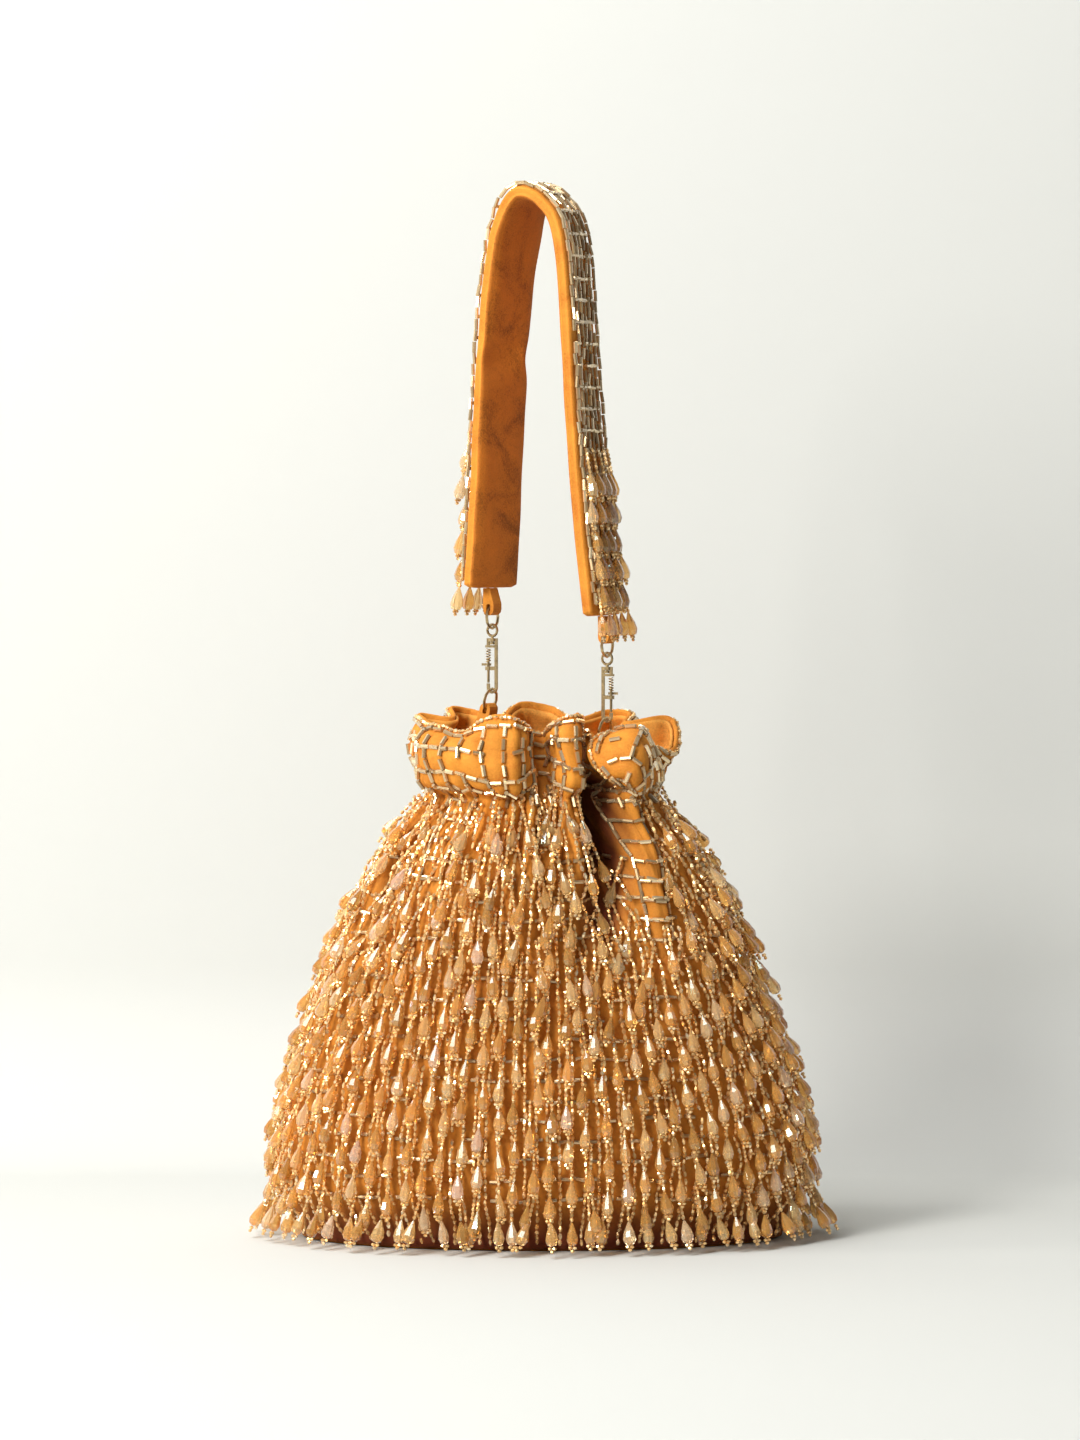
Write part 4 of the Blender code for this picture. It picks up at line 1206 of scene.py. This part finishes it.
def strap_line(places, lift):
    """A line just over the strap's outer face, through places given as (at, share)."""
    line = []
    for at, share in places:
        point, _, outward = strap_outside(at, share)
        line.append(point + outward * lift)
    return np.array(line)


def build_strap_beads():
    """Bugles couched along and across the strap's outer face."""
    rng = np.random.default_rng(sizes().seed + 3)
    bugles = BeadList("bugle", "bugle_beads")
    long, wide = bugle_measures()
    stations, length = even_stations(400)
    for share in (-0.92, -0.6, -0.3, 0.0, 0.3, 0.6, 0.92):
        line = strap_line([(at, share) for at in stations[4:-4]], wide * 0.45)
        string_beads(bugles, line, long * 1.03, (wide, wide, long), rng, keep=0.97)
    count = int(length / GRID_CELL)
    for k in range(count):
        at = np.interp((k + 0.5) / count, np.linspace(0, 1, len(stations)), stations)
        line = strap_line([(at, share) for share in np.linspace(-0.92, 0.92, 9)], wide * 0.55)
        string_beads(bugles, line, long * 1.04, (wide, wide, long), rng, start=0.9, keep=0.95)
    finish_piece(bugles.build("strap_bugles", rng), "handle", "glass_beads")


def build_strap_tassels():
    """Tassel rows on the lower outer face of each strap leg."""
    p = sizes()
    for side in ("left", "right"):
        rng = np.random.default_rng(p.seed + (4 if side == "left" else 5))
        seeds, drops = BeadList("seed", "seed_beads"), BeadList("drop", "drop_beads")
        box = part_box(f"strap_fringe_{side}")
        top, foot = box[1][2] / MM, box[0][2] / MM
        rows = int((top - foot - STRAP_ROOT) / STRAP_PITCH) + 1
        for row in range(rows):
            at = place_at_height(foot + STRAP_ROOT + row * STRAP_PITCH, side == "right")
            shift = 0.12 if row % 2 else 0.0
            roots, outs, sides = [], [], []
            for share in (-0.82 + shift, -0.42 + shift, 0.0 + shift, 0.40 + shift, 0.78):
                root, wide, outward = strap_outside(at, share + rng.normal(0, 0.03))
                level = np.array([outward[0], outward[1], 0.0])
                roots.append(root + outward * 1.4)
                outs.append(level / np.linalg.norm(level))
                sides.append(wide)
            places = [np.array(values) for values in (roots, outs, sides)]
            add_tassels(seeds, drops, *places, STRAP_REACH, LOOSE, rng)
        name = f"strap_tassels_{side}"
        ob = joined(name, [seeds.build(name + "_s", rng), drops.build(name + "_d", rng)])
        finish_piece(ob, "handle", "glass_beads", f"strap_fringe_{side}")


def place_at_height(z, right):
    """Where the left or right leg of the strap passes a height."""
    places = np.linspace(0.55, 1.0, 300) if right else np.linspace(0.0, 0.4, 300)
    heights = np.array([strap_flat(t)[1] for t in places])
    return float(places[np.argmin(np.abs(heights - z))])


# Fittings


def node_object(node):
    return next(o for o in bpy.data.objects if o.get("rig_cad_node") == node or o.name == node)


def paint_node(node, mat):
    ob = node_object(node)
    ob.data.materials.clear()
    ob.data.materials.append(material(mat))


def build_springs():
    """Coil springs of the snap hooks, in the metal finish. On the real hooks they shorten as the bolts
    slide back; these keep their imported shape.
    """
    for side in ("left", "right"):
        node = f"clasp_spring_{side}"
        mesh = node_object(node).data.copy()
        mesh.materials.clear()
        mesh.materials.append(material("fittings"))
        face_outward(mesh, merge=1e-6)
        mesh.shade_smooth()
        ob = linked(f"coil_{side}", mesh)
        finish_piece(ob, f"clasp_{side}", "antique_gold", node)
        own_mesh(ob)


def build_fittings():
    """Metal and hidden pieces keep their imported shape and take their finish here."""
    for side in ("left", "right"):
        for kind in ("clasp_body", "clasp_bolt", "clasp_eye", "bag_ring", "strap_ring"):
            paint_node(f"{kind}_{side}", "fittings")
        for kind in ("bag_tab", "strap_tab"):
            paint_node(f"{kind}_{side}", "velvet")
    paint_node("base_panel", "velvet")
    paint_node("base_board", "board")


# Stage


def build_ground():
    """A pale sheet that lies under the bag and curves up behind it."""
    flat_end = GROUND_FAR - GROUND_BEND
    profile = [(GROUND_NEAR, 0.0), (flat_end, 0.0)]
    for k in range(1, BEND_STEPS + 1):
        a = math.radians(90 * k / BEND_STEPS)
        profile.append((flat_end + GROUND_BEND * math.sin(a), GROUND_BEND * (1.0 - math.cos(a))))
    profile.append((GROUND_FAR, GROUND_RISE))
    points, faces = [], []
    for y, z in profile:
        points += [(-GROUND_WIDE, y, z), (GROUND_WIDE, y, z)]
    for k in range(len(profile) - 1):
        faces.append((2 * k, 2 * k + 1, 2 * k + 3, 2 * k + 2))
    ob = object_from("ground", points, faces, [material("ground")])


def aimed(name, data, place, aim):
    """A lamp or camera set at a place and turned towards another."""
    ob = linked(name, data)
    ob.location = place
    ob.rotation_mode = "QUATERNION"
    ob.rotation_quaternion = (Vector(aim) - Vector(place)).to_track_quat("-Z", "Y")
    return ob


def build_lights():
    """Soft lamps from the left, a wash for the backdrop and a weak even room light."""
    for name, place, aim, size, power, colour in LAMPS:
        lamp = bpy.data.lights.new(name, "AREA")
        lamp.shape = "DISK"
        lamp.size = size
        lamp.energy = power
        lamp.color = colour
        aimed(name, lamp, place, aim)
    world = bpy.data.worlds.new("soft_room")
    world.use_nodes = True
    back = world.node_tree.nodes["Background"]
    back.inputs["Color"].default_value = (1.0, 1.0, 1.0, 1.0)
    back.inputs["Strength"].default_value = ROOM_LIGHT
    bpy.context.scene.world = world


def build_camera():
    data = bpy.data.cameras.new("view")
    data.lens = CAMERA_LENS
    data.sensor_fit = "VERTICAL"
    data.sensor_height = 36.0
    data.clip_end = 20.0
    bpy.context.scene.camera = aimed("view", data, CAMERA_PLACE, CAMERA_AIM)
    bpy.context.scene.view_settings.view_transform = "Standard"


# Operators


class POTLI_OT_velvet(bpy.types.Operator):
    """Build the velvet bag and its lining"""
    bl_idname = "potli.velvet"
    bl_label = "Velvet"

    def execute(self, context):
        build_velvet()
        build_lining()
        return {"FINISHED"}


class POTLI_OT_tassels(bpy.types.Operator):
    """Build the rows of strung tassels"""
    bl_idname = "potli.tassels"
    bl_label = "Tassels"

    def execute(self, context):
        build_tassel_rows()
        return {"FINISHED"}


class POTLI_OT_strings(bpy.types.Operator):
    """Build the couched strings and the ruffle's bugle grid"""
    bl_idname = "potli.strings"
    bl_label = "Couched beads"

    def execute(self, context):
        build_body_strings()
        build_ruffle_grid()
        return {"FINISHED"}


class POTLI_OT_strap(bpy.types.Operator):
    """Build the strap with its beads and tassels"""
    bl_idname = "potli.strap"
    bl_label = "Strap"

    def execute(self, context):
        build_strap()
        build_strap_beads()
        build_strap_tassels()
        return {"FINISHED"}


class POTLI_OT_fittings(bpy.types.Operator):
    """Finish the metal fittings and the base"""
    bl_idname = "potli.fittings"
    bl_label = "Fittings"

    def execute(self, context):
        build_fittings()
        build_springs()
        return {"FINISHED"}


class POTLI_OT_stage(bpy.types.Operator):
    """Build the ground, lights and camera"""
    bl_idname = "potli.stage"
    bl_label = "Stage"

    def execute(self, context):
        build_ground()
        build_lights()
        build_camera()
        return {"FINISHED"}


class POTLI_PT_panel(bpy.types.Panel):
    """Sizes, colours and builders of the bag"""
    bl_label = "Potli Bag"
    bl_idname = "POTLI_PT_panel"
    bl_space_type = "VIEW_3D"
    bl_region_type = "UI"
    bl_category = "Potli"

    def draw(self, context):
        for group in (context.scene.potli_sizes, context.scene.potli_colours):
            box = self.layout.box()
            for name in group.__annotations__:
                box.prop(group, name)
        for operator in OPERATORS:
            self.layout.operator(operator.bl_idname)


OPERATORS = (
    POTLI_OT_stage, POTLI_OT_velvet, POTLI_OT_tassels, POTLI_OT_strings, POTLI_OT_strap,
    POTLI_OT_fittings,
)
CLASSES = (PotliSizes, PotliColours) + OPERATORS + (POTLI_PT_panel,)


def register():
    for cls in CLASSES:
        bpy.utils.register_class(cls)
    bpy.types.Scene.potli_sizes = PointerProperty(type=PotliSizes)
    bpy.types.Scene.potli_colours = PointerProperty(type=PotliColours)


def unregister():
    del bpy.types.Scene.potli_colours
    del bpy.types.Scene.potli_sizes
    for cls in reversed(CLASSES):
        bpy.utils.unregister_class(cls)


def main():
    register()
    bpy.ops.potli.stage()
    bpy.ops.potli.velvet()
    bpy.ops.potli.tassels()
    bpy.ops.potli.strings()
    bpy.ops.potli.strap()
    bpy.ops.potli.fittings()
    for made in BEADS.values():
        bpy.data.objects.remove(made)


if __name__ == "__main__":
    main()
